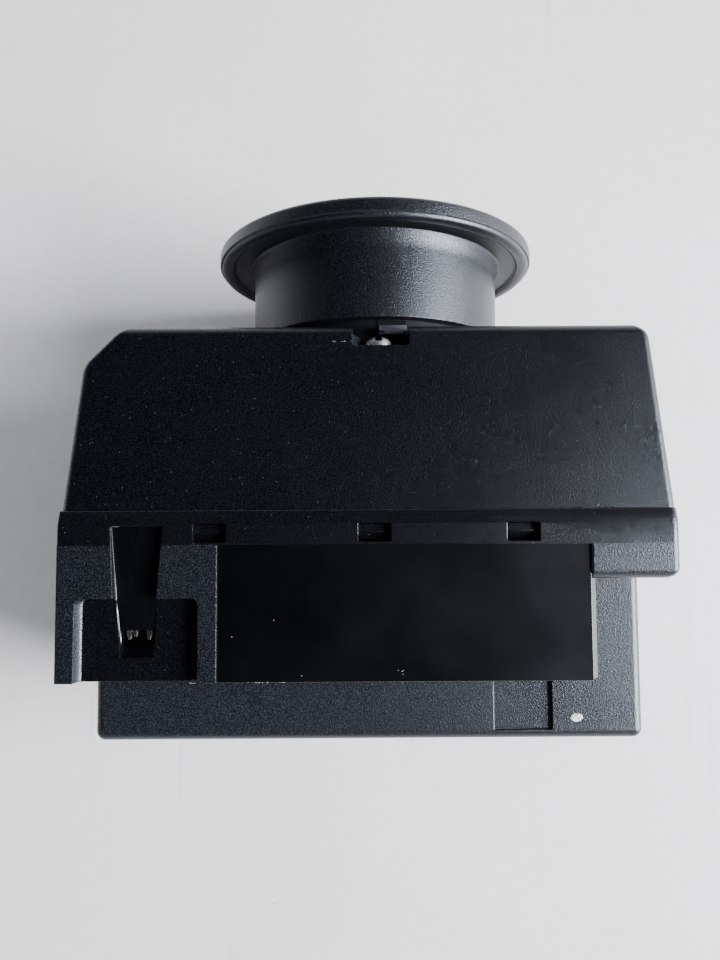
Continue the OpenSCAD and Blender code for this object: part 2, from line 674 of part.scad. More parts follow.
switch_gap = 1;

// Runs its children in a frame whose +X points from the collar's axis along the switch.
module at_switch() translate([collar_x, follow_y, axis_z]) rotate([0, -switch_angle, 0]) children();

module position_switch() color([0.12, 0.12, 0.13]) at_switch() difference() {
    translate([cam_r + switch_gap, -3, -5]) cube([6, 6, 10]);
    translate([cam_r + switch_gap - cut, 0, 0]) rotate([0, 90, 0]) cylinder(r = 1.2 + run_gap, h = 4 + cut);
}

module switch_plunger() color([0.7, 0.1, 0.1]) at_switch()
    translate([cam_r + clear, 0, 0]) rotate([0, 90, 0]) cylinder(r = 1.2, h = 2.9);

// ------------------------------------------------------------ electronics

board_x = in_x - 0.2;
board_z0 = wall + 0.3;

module pin_grid(x, cols) for (c = [0:cols - 1], r = [-0.5, 0.5])
    translate([x + (c - (cols - 1) / 2) * pitch, 0, row_z + r * pitch]) children();

module square_pin(grow = 0) block(-pin_w / 2 - grow, pin_w / 2 + grow, tip_y, tail_y, -pin_w / 2 - grow, pin_w / 2 + grow);

fine_x = large_x - large_w / 2 + 3.5 + (large_cols - 1) * pitch / 2;
blade_pitch = 5;
blade_x0 = fine_x + (large_cols - 1) * pitch / 2 + 4.2;

module at_blades() for (b = [0:blade_count - 1]) translate([blade_x0 + b * blade_pitch, 0, row_z]) children();

module blade_body() block(-1.4, 1.4, tip_y - 1, tail_y, -0.4, 0.4);

module circuit_board() color([0.05, 0.3, 0.12]) difference() {
    front(rounded(box_pts(-board_x, board_x, board_z0, body_t - board_z0), [1, 1, 1, 1]), y_board, y_board + board_t);
    for (sx = [-1, 1], z = post_z) rod_y(sx * post_x, z, 1.3, y_board - cut, y_board + board_t + cut);
    pin_grid(small_x, small_cols) square_pin();
    pin_grid(fine_x, large_cols) square_pin();
    at_blades() blade_body();
}

module board_screws() color("silver") for (sx = [-1, 1], z = post_z)
    pan_screw(sx * post_x, z, y_board + board_t, 1, 2.3, 1.3, 1, board_t + 8);

chip_x = -18;                             // the microcontroller, in front of the board
chip_z = 14;
chip_half = 5;

module microcontroller() color([0.05, 0.05, 0.05]) translate([chip_x, y_board + board_t, chip_z]) {
    block(-chip_half, chip_half, 0.1, 1.5, -chip_half, chip_half);
    for (turn = [0:90:270]) rotate([0, turn, 0]) for (k = [-4:4])
        block(chip_half, chip_half + 1, 0, 0.5, k - 0.18, k + 0.18);
}

// An infrared emitter behind the rotor, which talks to the key through it.
module ir_emitter() color([0.3, 0.05, 0.1]) on_axis(y_board + board_t) union() {
    cylinder(r = 2.9, h = 1);
    cylinder(r = 2.5, h = 2.8);
    translate([0, 0, 2.8]) sphere(r = 2.5);
}

module relays() color([0.1, 0.1, 0.11]) for (x = [-21, -4])
    block(x - 6.5, x + 6.5, y_board - 17, y_board, 9, 24);

module capacitors() color([0.15, 0.15, 0.3]) for (z = [10, 21]) rod_y(11.5, z, 4, y_board - 14, y_board);

module power_inductor() color([0.25, 0.25, 0.27])
    front(rounded(box_pts(17.5, 26.5, 7, 16), [1.5, 1.5, 1.5, 1.5]), y_board - 6, y_board);

module driver_transistors() color([0.07, 0.07, 0.07]) for (x = [-22, -13, -4, 5])
    block(x - 3.2, x + 3.2, y_board - 2.3, y_board, 27.5, 34);

// The insulators that carry the contacts and close the sockets' floors.
module header(x, w) front(box_pts(x - w / 2 + 1, x + w / 2 - 1, socket_z0 + 0.8, socket_z1 - 0.8), y_board - 3, y_board);

module small_header() color([0.12, 0.12, 0.12]) difference() {
    header(small_x, small_w);
    pin_grid(small_x, small_cols) square_pin();
}

module small_pins() color([0.8, 0.78, 0.72]) pin_grid(small_x, small_cols) square_pin();

module large_header() color([0.12, 0.12, 0.12]) difference() {
    header(large_x, large_w);
    pin_grid(fine_x, large_cols) square_pin();
    at_blades() blade_body();
}

module large_pins() color([0.8, 0.78, 0.72]) pin_grid(fine_x, large_cols) square_pin();

module power_blades() color([0.8, 0.78, 0.72]) at_blades() blade_body();

// ------------------------------------------------------------------ output

front_shell();
rear_housing();
label_plate();
paint_dot();
collar_ring();
lock_sleeve();
collar_screws();
lock_frame();
frame_screws();
rotor();
rotor_face();
rotor_cam();
rotor_circlip();
return_spring();
key_pusher();
pusher_spring();
antenna_coil();
solenoid_frame();
solenoid_coil();
lock_plunger();
plunger_spring();
detent_plunger();
detent_spring();
position_switch();
switch_plunger();
circuit_board();
board_screws();
microcontroller();
ir_emitter();
relays();
capacitors();
power_inductor();
driver_transistors();
small_header();
small_pins();
large_header();
large_pins();
power_blades();
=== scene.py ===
"""The looks of an electronic ignition switch module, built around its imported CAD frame.

The module lies on its back face. +Y runs from the connector hood to the key collar and +Z
points at the face with the label plate. Sizes in this script are millimetres, and become
metres where a mesh, a lamp or the camera is made.
"""

import logging
import math
import random
from collections.abc import Callable, Sequence
from dataclasses import dataclass, field
from enum import Enum

import bmesh
import bpy
from mathutils import Euler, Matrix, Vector


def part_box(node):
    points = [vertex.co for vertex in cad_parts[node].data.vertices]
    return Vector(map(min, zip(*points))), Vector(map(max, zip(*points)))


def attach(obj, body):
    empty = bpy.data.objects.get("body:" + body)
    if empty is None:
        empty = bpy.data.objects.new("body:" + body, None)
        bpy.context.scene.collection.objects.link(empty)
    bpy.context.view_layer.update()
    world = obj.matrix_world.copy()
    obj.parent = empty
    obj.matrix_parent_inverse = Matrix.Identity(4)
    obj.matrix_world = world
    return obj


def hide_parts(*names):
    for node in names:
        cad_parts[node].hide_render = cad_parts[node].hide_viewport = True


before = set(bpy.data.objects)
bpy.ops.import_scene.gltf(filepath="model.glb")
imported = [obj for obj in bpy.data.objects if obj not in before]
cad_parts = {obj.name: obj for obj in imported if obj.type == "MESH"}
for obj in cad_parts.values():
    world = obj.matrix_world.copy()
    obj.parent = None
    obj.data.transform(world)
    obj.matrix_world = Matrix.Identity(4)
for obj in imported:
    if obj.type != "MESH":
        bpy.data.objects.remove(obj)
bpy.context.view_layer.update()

MM = 0.001
SMOOTH_ANGLE = math.radians(38)

log = logging.getLogger("switch_module")

Point2 = tuple[float, float]
Point3 = tuple[float, float, float]
Ring = list[Point3]


# --------------------------------------------------------------------------- small helpers


def srgb(code: str) -> tuple[float, float, float, float]:
    """Turns an sRGB hex colour into the linear colour that a shader takes.

    Args:
        code: Six hex digits, such as "1a1b1d".

    Returns:
        Linear red, green and blue, and an alpha of 1.
    """
    parts = [int(code[i : i + 2], 16) / 255 for i in (0, 2, 4)]
    linear = [c / 12.92 if c <= 0.04045 else ((c + 0.055) / 1.055) ** 2.4 for c in parts]
    return (linear[0], linear[1], linear[2], 1.0)


def cad_box(node: str) -> tuple[Vector, Vector]:
    """Gives a CAD node's lowest and highest corners in millimetres.

    Args:
        node: The node's name.

    Returns:
        The lowest and the highest corner.
    """
    low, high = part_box(node)
    return low / MM, high / MM


def corner_arc(a: Point2, b: Point2, c: Point2, radius: float, steps: int) -> list[Point2]:
    """Rounds corner b of the path a-b-c.

    Args:
        a: The point before the corner.
        b: The corner.
        c: The point after the corner.
        radius: The corner's radius, where 0 keeps it sharp.
        steps: Segments of the arc.

    Returns:
        The points that take the corner's place.
    """
    if radius <= 0:
        return [b]
    to_a = (Vector(a) - Vector(b)).normalized()
    to_c = (Vector(c) - Vector(b)).normalized()
    half = to_a.angle(to_c) / 2
    centre = Vector(b) + (to_a + to_c).normalized() * radius / math.sin(half)
    start = Vector(b) + to_a * radius / math.tan(half) - centre
    end = Vector(b) + to_c * radius / math.tan(half) - centre
    first = math.atan2(start.y, start.x)
    turn = (math.atan2(end.y, end.x) - first + math.pi) % (2 * math.pi) - math.pi
    angles = [first + turn * i / steps for i in range(steps + 1)]
    return [(centre.x + radius * math.cos(t), centre.y + radius * math.sin(t)) for t in angles]


def rounded(points: Sequence[Point2], radii: Sequence[float], steps: int = 6) -> list[Point2]:
    """Rounds every corner of a closed outline.

    Args:
        points: The outline's corners.
        radii: One radius for each corner.
        steps: Segments of each arc.

    Returns:
        The rounded outline.
    """
    count = len(points)
    outline: list[Point2] = []
    for i, radius in enumerate(radii):
        outline += corner_arc(points[i - 1], points[i], points[(i + 1) % count], radius, steps)
    return outline


def rectangle(x0: float, x1: float, y0: float, y1: float) -> list[Point2]:
    """Gives a rectangle's corners, anticlockwise from the lowest."""
    return [(x0, y0), (x1, y0), (x1, y1), (x0, y1)]


def mesh_piece(name: str, points: Sequence[Point3], faces: Sequence[Sequence[int]]) -> bpy.types.Object:
    """Makes an object from points in millimetres and turns its faces outward.

    Args:
        name: The object's name.
        points: The vertices.
        faces: Each face's vertex numbers.

    Returns:
        The new object, linked to the scene.
    """
    mesh = bpy.data.meshes.new(name)
    mesh.from_pydata([Vector(p) * MM for p in points], [], [list(f) for f in faces])
    build = bmesh.new()
    build.from_mesh(mesh)
    bmesh.ops.remove_doubles(build, verts=build.verts, dist=0.002 * MM)
    bmesh.ops.recalc_face_normals(build, faces=build.faces)
    build.to_mesh(mesh)
    build.free()
    piece = bpy.data.objects.new(name, mesh)
    bpy.context.scene.collection.objects.link(piece)
    return piece


def loft(name: str, rings: Sequence[Ring]) -> bpy.types.Object:
    """Skins rings that have the same number of points, and closes both ends.

    Args:
        name: The object's name.
        rings: The cross-sections in order.

    Returns:
        The closed form.
    """
    count = len(rings[0])
    points = [p for ring in rings for p in ring]
    faces: list[list[int]] = [list(range(count)), list(range(len(points) - count, len(points)))]
    for level in range(len(rings) - 1):
        for i in range(count):
            j = (i + 1) % count
            low, high = level * count, (level + 1) * count
            faces.append([low + i, low + j, high + j, high + i])
    return mesh_piece(name, points, faces)


class Along(Enum):
    """The axis that an outline is extruded along."""

    X = "x"
    Y = "y"
    Z = "z"


def place(along: Along, u: float, v: float, w: float) -> Point3:
    """Places outline point (u, v) at distance w along an axis."""
    return {Along.X: (w, u, v), Along.Y: (u, w, v), Along.Z: (u, v, w)}[along]


def prism(name: str, outline: Sequence[Point2], along: Along, low: float, high: float) -> bpy.types.Object:
    """Extrudes a closed outline.

    Args:
        name: The object's name.
        outline: The outline's points: Y and Z along X, X and Z along Y, X and Y along Z.
        along: The axis of the extrusion.
        low: Where it starts.
        high: Where it ends.

    Returns:
        The closed form.
    """
    return loft(name, [[place(along, u, v, w) for u, v in outline] for w in (low, high)])


def block(name: str, low: Point3, high: Point3) -> bpy.types.Object:
    """Makes a sharp-edged block between two corners, as a tool for cutting."""
    return prism(name, rectangle(low[0], high[0], low[1], high[1]), Along.Z, low[2], high[2])


def lathe(name: str, profile: Sequence[Point2], centre: Point2, steps: int = 96) -> bpy.types.Object:
    """Turns a closed profile of radius and Y about an axis parallel with Y.

    Args:
        name: The object's name.
        profile: Points of radius and Y, all off the axis or with the first and last on it.
        centre: The axis's X and Z.
        steps: Segments round the axis.

    Returns:
        The turned form.
    """
    points: list[Point3] = []
    for i in range(steps):
        turn = 2 * math.pi * i / steps
        points += [(centre[0] + r * math.cos(turn), y, centre[1] + r * math.sin(turn)) for r, y in profile]
    count = len(profile)
    faces: list[list[int]] = []
    for i in range(steps):
        j = (i + 1) % steps
        for k in range(count):
            m = (k + 1) % count
            if profile[k][0] > 0 or profile[m][0] > 0:
                faces.append([i * count + k, j * count + k, j * count + m, i * count + m])
    return tidy_faces(mesh_piece(name, points, faces))


def tidy_faces(piece: bpy.types.Object) -> bpy.types.Object:
    """Drops edges and faces that have collapsed to nothing.

    Args:
        piece: The piece to clean.

    Returns:
        The same piece.
    """
    build = bmesh.new()
    build.from_mesh(piece.data)
    bmesh.ops.dissolve_degenerate(build, dist=0.0005 * MM, edges=build.edges)
    bmesh.ops.recalc_face_normals(build, faces=build.faces)
    build.to_mesh(piece.data)
    build.free()
    return piece


def rod(name: str, centre: Point2, radius: float, low: float, high: float, steps: int = 48) -> bpy.types.Object:
    """Makes a straight cylinder along Y, as a tool for cutting or a plain core."""
    return lathe(name, [(0, low), (radius, low), (radius, high), (0, high)], centre, steps)


def bake_modifiers(piece: bpy.types.Object) -> bpy.types.Object:
    """Applies every modifier of a piece to its mesh.

    Args:
        piece: The piece whose modifiers become mesh.

    Returns:
        The same piece.
    """
    graph = bpy.context.evaluated_depsgraph_get()
    old = piece.data
    piece.data = bpy.data.meshes.new_from_object(piece.evaluated_get(graph))
    piece.modifiers.clear()
    bpy.data.meshes.remove(old)
    return piece


def combine(
    base: bpy.types.Object, tools: Sequence[bpy.types.Object], operation: str = "DIFFERENCE"
) -> bpy.types.Object:
    """Cuts tools from a base, or joins them to it, and removes the tools.

    Args:
        base: The piece to work on.
        tools: The solids to use.
        operation: Blender's name for the boolean operation.

    Returns:
        The base.
    """
    for tool in tools:
        step = base.modifiers.new("step", "BOOLEAN")
        step.operation = operation
        step.solver = "EXACT"
        step.object = tool
        bake_modifiers(base)
        bpy.data.objects.remove(tool)
    return base


def soften(piece: bpy.types.Object, width: float, segments: int = 2, angle: float = 38) -> bpy.types.Object:
    """Breaks a piece's sharp edges with a small round and evens its shading.

    Args:
        piece: The piece to work on.
        width: The round's width.
        segments: Facets across the round.
        angle: The least angle, in degrees, of an edge that gets one.

    Returns:
        The piece, still inside its own sharp-edged box.
    """
    corners = [Vector(c) for c in piece.bound_box]
    low = Vector([min(c[i] for c in corners) for i in range(3)])
    high = Vector([max(c[i] for c in corners) for i in range(3)])
    merge = piece.modifiers.new("merge", "WELD")
    merge.merge_threshold = 0.004 * MM
    edge = piece.modifiers.new("edge", "BEVEL")
    edge.width = width * MM
    edge.segments = segments
    edge.limit_method = "ANGLE"
    edge.angle_limit = math.radians(angle)
    edge.use_clamp_overlap = False
    edge.miter_outer = "MITER_ARC"
    bake_modifiers(piece)
    for vertex in piece.data.vertices:
        vertex.co = [min(max(vertex.co[i], low[i]), high[i]) for i in range(3)]
    return even_shading(piece)


def even_shading(piece: bpy.types.Object) -> bpy.types.Object:
    """Shades a piece smoothly, with flat faces kept flat and true corners kept sharp.

    Args:
        piece: The piece to shade.

    Returns:
        The same piece.
    """
    piece.data.shade_smooth()
    piece.data.set_sharp_from_angle(angle=SMOOTH_ANGLE)
    weight = piece.modifiers.new("weight", "WEIGHTED_NORMAL")
    weight.keep_sharp = True
    weight.weight = 90
    return bake_modifiers(piece)


def finish_piece(
    piece: bpy.types.Object, finish: "Finish", body: str, nodes: Sequence[str]
) -> bpy.types.Object:
    """Gives a piece its material, its body and the CAD nodes that it stands for.

    Args:
        piece: The finished mesh.
        finish: What it is made of.
        body: The CAD body it rides on.
        nodes: The CAD nodes that it replaces.

    Returns:
        The piece.
    """
    piece.data.materials.clear()
    piece.data.materials.append(finish.material())
    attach(piece, body)
    if nodes:
        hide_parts(*nodes)
    log.info("%s: %d faces on %s", piece.name, len(piece.data.polygons), body)
    return piece


# --------------------------------------------------------------------------------- finishes


class Shading:
    """A material under construction, with the patterns that several finishes share."""

    def __init__(self, name: str) -> None:
        """Starts an empty material.

        Args:
            name: The material's name.
        """
        self.material = bpy.data.materials.new(name)
        self.material.use_nodes = True
        self.tree = self.material.node_tree
        self.tree.nodes.clear()
        self.where = self.add("TexCoord")["Object"]

    def add(self, kind: str, inputs: dict | None = None, **settings: object) -> bpy.types.NodeOutputs:
        """Adds a node with its settings, its values and its links.

        Args:
            kind: The shader node's type, without its common first part.
            inputs: Values or output sockets, by the input's name or number.
            settings: The node's own properties.

        Returns:
            The new node's outputs.
        """
        return add_node(self.tree, kind, inputs, **settings)

    def specks(self, spacing_mm: float, radius_mm: float, share: float) -> bpy.types.NodeSocket:
        """Gives a mask of small round specks, such as dust.

        Args:
            spacing_mm: The size of the cells that hold at most one speck each.
            radius_mm: The radius of a speck.
            share: The share of cells that hold one.

        Returns:
            1 on a speck and 0 elsewhere.
        """
        cell = self.add("TexVoronoi", {"Vector": self.where, "Scale": 1 / (spacing_mm * MM)})
        near = self.add("Math", {0: cell["Distance"], 1: radius_mm / spacing_mm}, operation="LESS_THAN")[0]
        split = self.add("SeparateColor", {0: cell["Color"]})[0]
        chosen = self.add("Math", {0: split, 1: share}, operation="LESS_THAN")[0]
        return self.add("Math", {0: near, 1: chosen}, operation="MULTIPLY")[0]

    def patches(self, size_mm: float, low: float = 0.35, high: float = 0.7, detail: float = 4) -> bpy.types.NodeSocket:
        """Gives soft patches from 0 to 1, such as wear or haze.

        Args:
            size_mm: The patches' size.
            low: The noise value that becomes 0.
            high: The noise value that becomes 1.
            detail: How many finer octaves the patches have.

        Returns:
            The patches' value.
        """
        noise = self.add("TexNoise", {"Vector": self.where, "Scale": 1 / (size_mm * MM), "Detail": detail})[0]
        return self.add("MapRange", {0: noise, 1: low, 2: high})[0]

    def drawn(self, size_mm: float, squeeze: Point3, detail: float = 3) -> bpy.types.NodeSocket:
        """Gives noise stretched into streaks, such as drawing marks or scratches.

        Args:
            size_mm: The streaks' width.
            squeeze: Factors along X, Y and Z, where a small one makes the streaks long.
            detail: How many finer octaves the streaks have.

        Returns:
            The streaks' value.
        """
        scaled = self.add("Mapping", {"Vector": self.where, "Scale": squeeze})[0]
        return self.add("TexNoise", {"Vector": scaled, "Scale": 1 / (size_mm * MM), "Detail": detail})[0]


def add_node(
    tree: bpy.types.NodeTree, kind: str, inputs: dict | None = None, **settings: object
) -> bpy.types.NodeOutputs:
    """Adds a shader node with its settings, its values and its links.

    Args:
        tree: The tree that the node goes in.
        kind: The node's type, without its common first part.
        inputs: Values or output sockets, by the input's name or number.
        settings: The node's own properties.

    Returns:
        The new node's outputs.
    """
    node = tree.nodes.new("ShaderNode" + kind)
    for name, value in settings.items():
        setattr(node, name, value)
    for key, value in (inputs or {}).items():
        if isinstance(value, bpy.types.NodeSocket):
            tree.links.new(value, node.inputs[key])
        else:
            node.inputs[key].default_value = value
    return node.outputs


@dataclass(frozen=True)
class Finish:
    """What a piece is made of and how its surface was made."""

    name: str

    def material(self) -> bpy.types.Material:
        """Gives the finish's material, made once."""
        return bpy.data.materials.get(self.name) or self.build()

    def build(self) -> bpy.types.Material:
        """Builds the material's nodes, which each finish does in its own way."""
        raise NotImplementedError


@dataclass(frozen=True)
class GrainedPlastic(Finish):
    """Glass-filled plastic moulded against a spark-eroded tool.

    The eye gets a near-black, dry surface with fine sparkle, a slight patchiness from handling,
    and a little pale dust. The sparkle is painted glints: pale specks on single grains, which are
    also smoother. The real grain of 0.05 to 0.1 mm is too fine to show, so it is drawn a little coarser, at 0.13 to 0.2
    mm.
    """

    base: str = "0c0d0f"
    worn: str = "1b1c1f"
    grain_mm: float = 0.14
    grain_depth_mm: float = 0.03
    roughness: float = 0.4
    painted_glint_share: float = 0.05
    dust_share: float = 0.025

    def build(self) -> bpy.types.Material:
        """Builds grain, painted glints, handling marks and dust.

        Returns:
            The finished material.
        """
        shade = Shading(self.name)
        size = self.grain_mm * MM
        fine = shade.add("TexNoise", {"Vector": shade.where, "Scale": 1 / size, "Detail": 2.0, "Roughness": 0.6})[0]
        pits = shade.add("TexVoronoi", {"Vector": shade.where, "Scale": 0.7 / size})["Distance"]
        height = shade.add("Math", {0: pits, 1: 0.5, 2: fine}, operation="MULTIPLY_ADD")[0]
        normal = shade.add("Bump", {"Height": height, "Distance": self.grain_depth_mm * MM, "Strength": 1.0})[0]
        # Handling wears the grain's tips pale in soft patches, and single grains differ in tone.
        patches = shade.patches(9, 0.35, 0.68)
        tone = shade.patches(self.grain_mm * 1.3, 0.46, 0.66, 1)
        part = shade.add("Math", {0: patches, 1: 0.25, 2: 0.75}, operation="MULTIPLY_ADD")[0]
        mixed = shade.add("Math", {0: tone, 1: part}, operation="MULTIPLY")[0]
        colour = shade.add("Mix", {0: mixed, 6: srgb(self.base), 7: srgb(self.worn)}, data_type="RGBA")[2]
        # Painted glints: pale specks in the base colour stand for single grains catching the light, and the specks are
        # also smoother.
        painted_glint = shade.specks(self.grain_mm * 2.4, self.grain_mm * 0.55, self.painted_glint_share)
        painted_glint_strength = shade.add("Math", {0: painted_glint, 1: 0.55}, operation="MULTIPLY")[0]
        colour = shade.add("Mix", {0: painted_glint_strength, 6: colour, 7: srgb("505256")}, data_type="RGBA")[2]
        dust = shade.specks(2.6, 0.075, self.dust_share)
        colour = shade.add("Mix", {0: dust, 6: colour, 7: srgb("8f908e")}, data_type="RGBA")[2]
        ends = {0: patches, 1: 0.0, 2: 1.0, 3: self.roughness + 0.02, 4: self.roughness - 0.02}
        rough = shade.add("MapRange", ends)[0]
        rough = shade.add("Math", {0: painted_glint, 1: -0.15, 2: rough}, operation="MULTIPLY_ADD")[0]
        values = {"Base Color": colour, "Roughness": rough, "Normal": normal, "IOR": 1.55}
        shade.add("OutputMaterial", {"Surface": shade.add("BsdfPrincipled", values)[0]})
        return shade.material


@dataclass(frozen=True)
class SmoothPlastic(Finish):
    """Plastic moulded against a polished tool.

    The eye gets an even, satin surface with a faint ripple, hairline scuffs and a little dust.
    """

    base: str = "0b0c0d"
    worn: str = "15161a"
    roughness: float = 0.38
    scuff: float = 0.1
    dust_share: float = 0.05
    ior: float = 1.53

    def build(self) -> bpy.types.Material:
        """Builds the ripple, the scuffs and the dust.

        Returns:
            The finished material.
        """
        shade = Shading(self.name)
        ripple = shade.add("TexNoise", {"Vector": shade.where, "Scale": 1 / (2.2 * MM), "Detail": 2.0})[0]
        scuffs = shade.drawn(0.5, (1, 0.12, 1), 4)
        height = shade.add("Math", {0: scuffs, 1: 0.35, 2: ripple}, operation="MULTIPLY_ADD")[0]
        normal = shade.add("Bump", {"Height": height, "Distance": 0.01 * MM, "Strength": 1.0})[0]
        ends = {0: shade.patches(6), 6: srgb(self.base), 7: srgb(self.worn)}
        colour = shade.add("Mix", ends, data_type="RGBA")[2]
        dust = shade.specks(2.1, 0.07, self.dust_share)
        colour = shade.add("Mix", {0: dust, 6: colour, 7: srgb("9a9b99")}, data_type="RGBA")[2]
        rough = shade.add("MapRange", {0: scuffs, 1: 0.3, 2: 0.75, 3: self.roughness, 4: self.roughness + self.scuff})[0]
        values = {"Base Color": colour, "Roughness": rough, "Normal": normal, "IOR": self.ior}
        shade.add("OutputMaterial", {"Surface": shade.add("BsdfPrincipled", values)[0]})
        return shade.material


@dataclass(frozen=True)
class FilmPlate(Finish):
    """A blank plate of printed polycarbonate film.

    The eye gets the smoothest black on the module, with a broad soft reflection, a faint
    orange peel from the adhesive under it, and specks of dust.
    """

    base: str = "010101"
    haze: str = "030304"

    def build(self) -> bpy.types.Material:
        """Builds the adhesive's ripple, the haze and the dust.

        Returns:
            The finished material.
        """
        shade = Shading(self.name)
        ripple = shade.add("TexNoise", {"Vector": shade.where, "Scale": 1 / (3.5 * MM), "Detail": 2.0})[0]
        normal = shade.add("Bump", {"Height": ripple, "Distance": 0.012 * MM, "Strength": 1.0})[0]
        haze = shade.patches(11, 0.3, 0.75, 3)
        colour = shade.add("Mix", {0: haze, 6: srgb(self.base), 7: srgb(self.haze)}, data_type="RGBA")[2]
        dust = shade.specks(1.7, 0.06, 0.1)
        colour = shade.add("Mix", {0: dust, 6: colour, 7: srgb("7f7f7c")}, data_type="RGBA")[2]
        rough = shade.add("MapRange", {0: haze, 1: 0.0, 2: 1.0, 3: 0.25, 4: 0.31})[0]
        rough = shade.add("Math", {0: dust, 1: 0.4, 2: rough}, operation="MULTIPLY_ADD")[0]
        values = {"Base Color": colour, "Roughness": rough, "Normal": normal, "IOR": 1.58}
        shade.add("OutputMaterial", {"Surface": shade.add("BsdfPrincipled", values)[0]})
        return shade.material


@dataclass(frozen=True)
class PlatedMetal(Finish):
    """Metal with a thin plated coat: zinc on steel, or tin on brass.

    The eye gets bright metal whose tone wanders a little, with fine drawing or turning marks.
    """

    base: str = "b9bbbd"
    tarnish: str = "8d8a80"
    roughness: float = 0.28
    mark_mm: float = 0.15

    def build(self) -> bpy.types.Material:
        """Builds the tarnish and the tool marks.

        Returns:
            The finished material.
        """
        shade = Shading(self.name)
        marks = shade.drawn(self.mark_mm, (1, 0.2, 1))
        normal = shade.add("Bump", {"Height": marks, "Distance": 0.004 * MM, "Strength": 1.0})[0]
        ends = {0: shade.patches(0.9, detail=3), 6: srgb(self.base), 7: srgb(self.tarnish)}
        colour = shade.add("Mix", ends, data_type="RGBA")[2]
        ends = {0: marks, 1: 0.3, 2: 0.7, 3: self.roughness - 0.05, 4: self.roughness + 0.12}
        rough = shade.add("MapRange", ends)[0]
        values = {"Base Color": colour, "Metallic": 1.0, "Roughness": rough, "Normal": normal}
        shade.add("OutputMaterial", {"Surface": shade.add("BsdfPrincipled", values)[0]})
        return shade.material


@dataclass(frozen=True)
class EnamelledWire(Finish):
    """A winding of enamelled copper wire.

    The eye gets fine bright ridges side by side, amber where the enamel is thick, with painted shade in the grooves
    between them. The wire of 0.12 mm is too fine to show, so its ridges are drawn at 0.3 mm.
    """

    pitch_mm: float = 0.3
    along: Along = Along.Y

    def build(self) -> bpy.types.Material:
        """Builds the ridges of the wire and paints shade into the grooves between them.

        Returns:
            The finished material.
        """
        shade = Shading(self.name)
        values = {"Vector": shade.where, "Scale": 0.314 / (self.pitch_mm * MM), "Distortion": 0.3}
        turns = shade.add("TexWave", values, bands_direction=self.along.value.upper())[1]
        normal = shade.add("Bump", {"Height": turns, "Distance": 0.06 * MM, "Strength": 1.0})[0]
        thick = shade.patches(1.1, 0.3, 0.7, 3)
        colour = shade.add("Mix", {0: thick, 6: srgb("b3652f"), 7: srgb("8a4a20")}, data_type="RGBA")[2]
        # Painted shade: the grooves between the turns are darkened in the colour.
        groove = shade.add("MapRange", {0: turns, 1: 0.0, 2: 0.4, 3: 1.0, 4: 0.0})[0]
        colour = shade.add("Mix", {0: groove, 6: colour, 7: srgb("3a1d0d")}, data_type="RGBA")[2]
        rough = shade.add("MapRange", {0: thick, 1: 0.0, 2: 1.0, 3: 0.28, 4: 0.4})[0]
        values = {"Base Color": colour, "Metallic": 0.8, "Roughness": rough, "Normal": normal}
        shade.add("OutputMaterial", {"Surface": shade.add("BsdfPrincipled", values)[0]})
        return shade.material


@dataclass(frozen=True)
class SolderMask(Finish):
    """Green solder mask over copper tracks on glass-epoxy board.

    The eye gets a glossy green skin with slightly paler, raised tracks under it.
    """

    def build(self) -> bpy.types.Material:
        """Builds the tracks and the weave under the mask.

        Returns:
            The finished material.
        """
        shade = Shading(self.name)
        cell = shade.add("TexVoronoi", {"Vector": shade.where, "Scale": 1 / (2 * MM)})["Distance"]
        track = shade.add("MapRange", {0: cell, 1: 0.42, 2: 0.5})[0]
        weave = shade.add("TexNoise", {"Vector": shade.where, "Scale": 1 / (0.35 * MM), "Detail": 2.0})[0]
        height = shade.add("Math", {0: weave, 1: 0.2, 2: track}, operation="MULTIPLY_ADD")[0]
        normal = shade.add("Bump", {"Height": height, "Distance": 0.035 * MM, "Strength": 1.0})[0]
        colour = shade.add("Mix", {0: track, 6: srgb("0f4a2c"), 7: srgb("1c6a40")}, data_type="RGBA")[2]
        rough = shade.add("MapRange", {0: weave, 1: 0.3, 2: 0.7, 3: 0.24, 4: 0.36})[0]
        values = {"Base Color": colour, "Roughness": rough, "Normal": normal}
        shade.add("OutputMaterial", {"Surface": shade.add("BsdfPrincipled", values)[0]})
        return shade.material


@dataclass(frozen=True)
class RoughCover(Finish):
    """A rough, uneven cover: brushed paint, or plastic whitened where flash was torn off.

    The eye gets a pale dab or nick that is thin and dull in places and rough on top.
    """

    thin: str = "8f9290"
    full: str = "dfe1dc"
    size_mm: float = 0.4
    roughness: float = 0.6

    def build(self) -> bpy.types.Material:
        """Builds the uneven cover.

        Returns:
            The finished material.
        """
        shade = Shading(self.name)
        cover = shade.patches(self.size_mm, 0.34, 0.64)
        normal = shade.add("Bump", {"Height": cover, "Distance": 0.03 * MM, "Strength": 1.0})[0]
        colour = shade.add("Mix", {0: cover, 6: srgb(self.thin), 7: srgb(self.full)}, data_type="RGBA")[2]
        rough = shade.add("MapRange", {0: cover, 1: 0.0, 2: 1.0, 3: self.roughness + 0.1, 4: self.roughness - 0.1})[0]
        values = {"Base Color": colour, "Roughness": rough, "Normal": normal}
        shade.add("OutputMaterial", {"Surface": shade.add("BsdfPrincipled", values)[0]})
        return shade.material


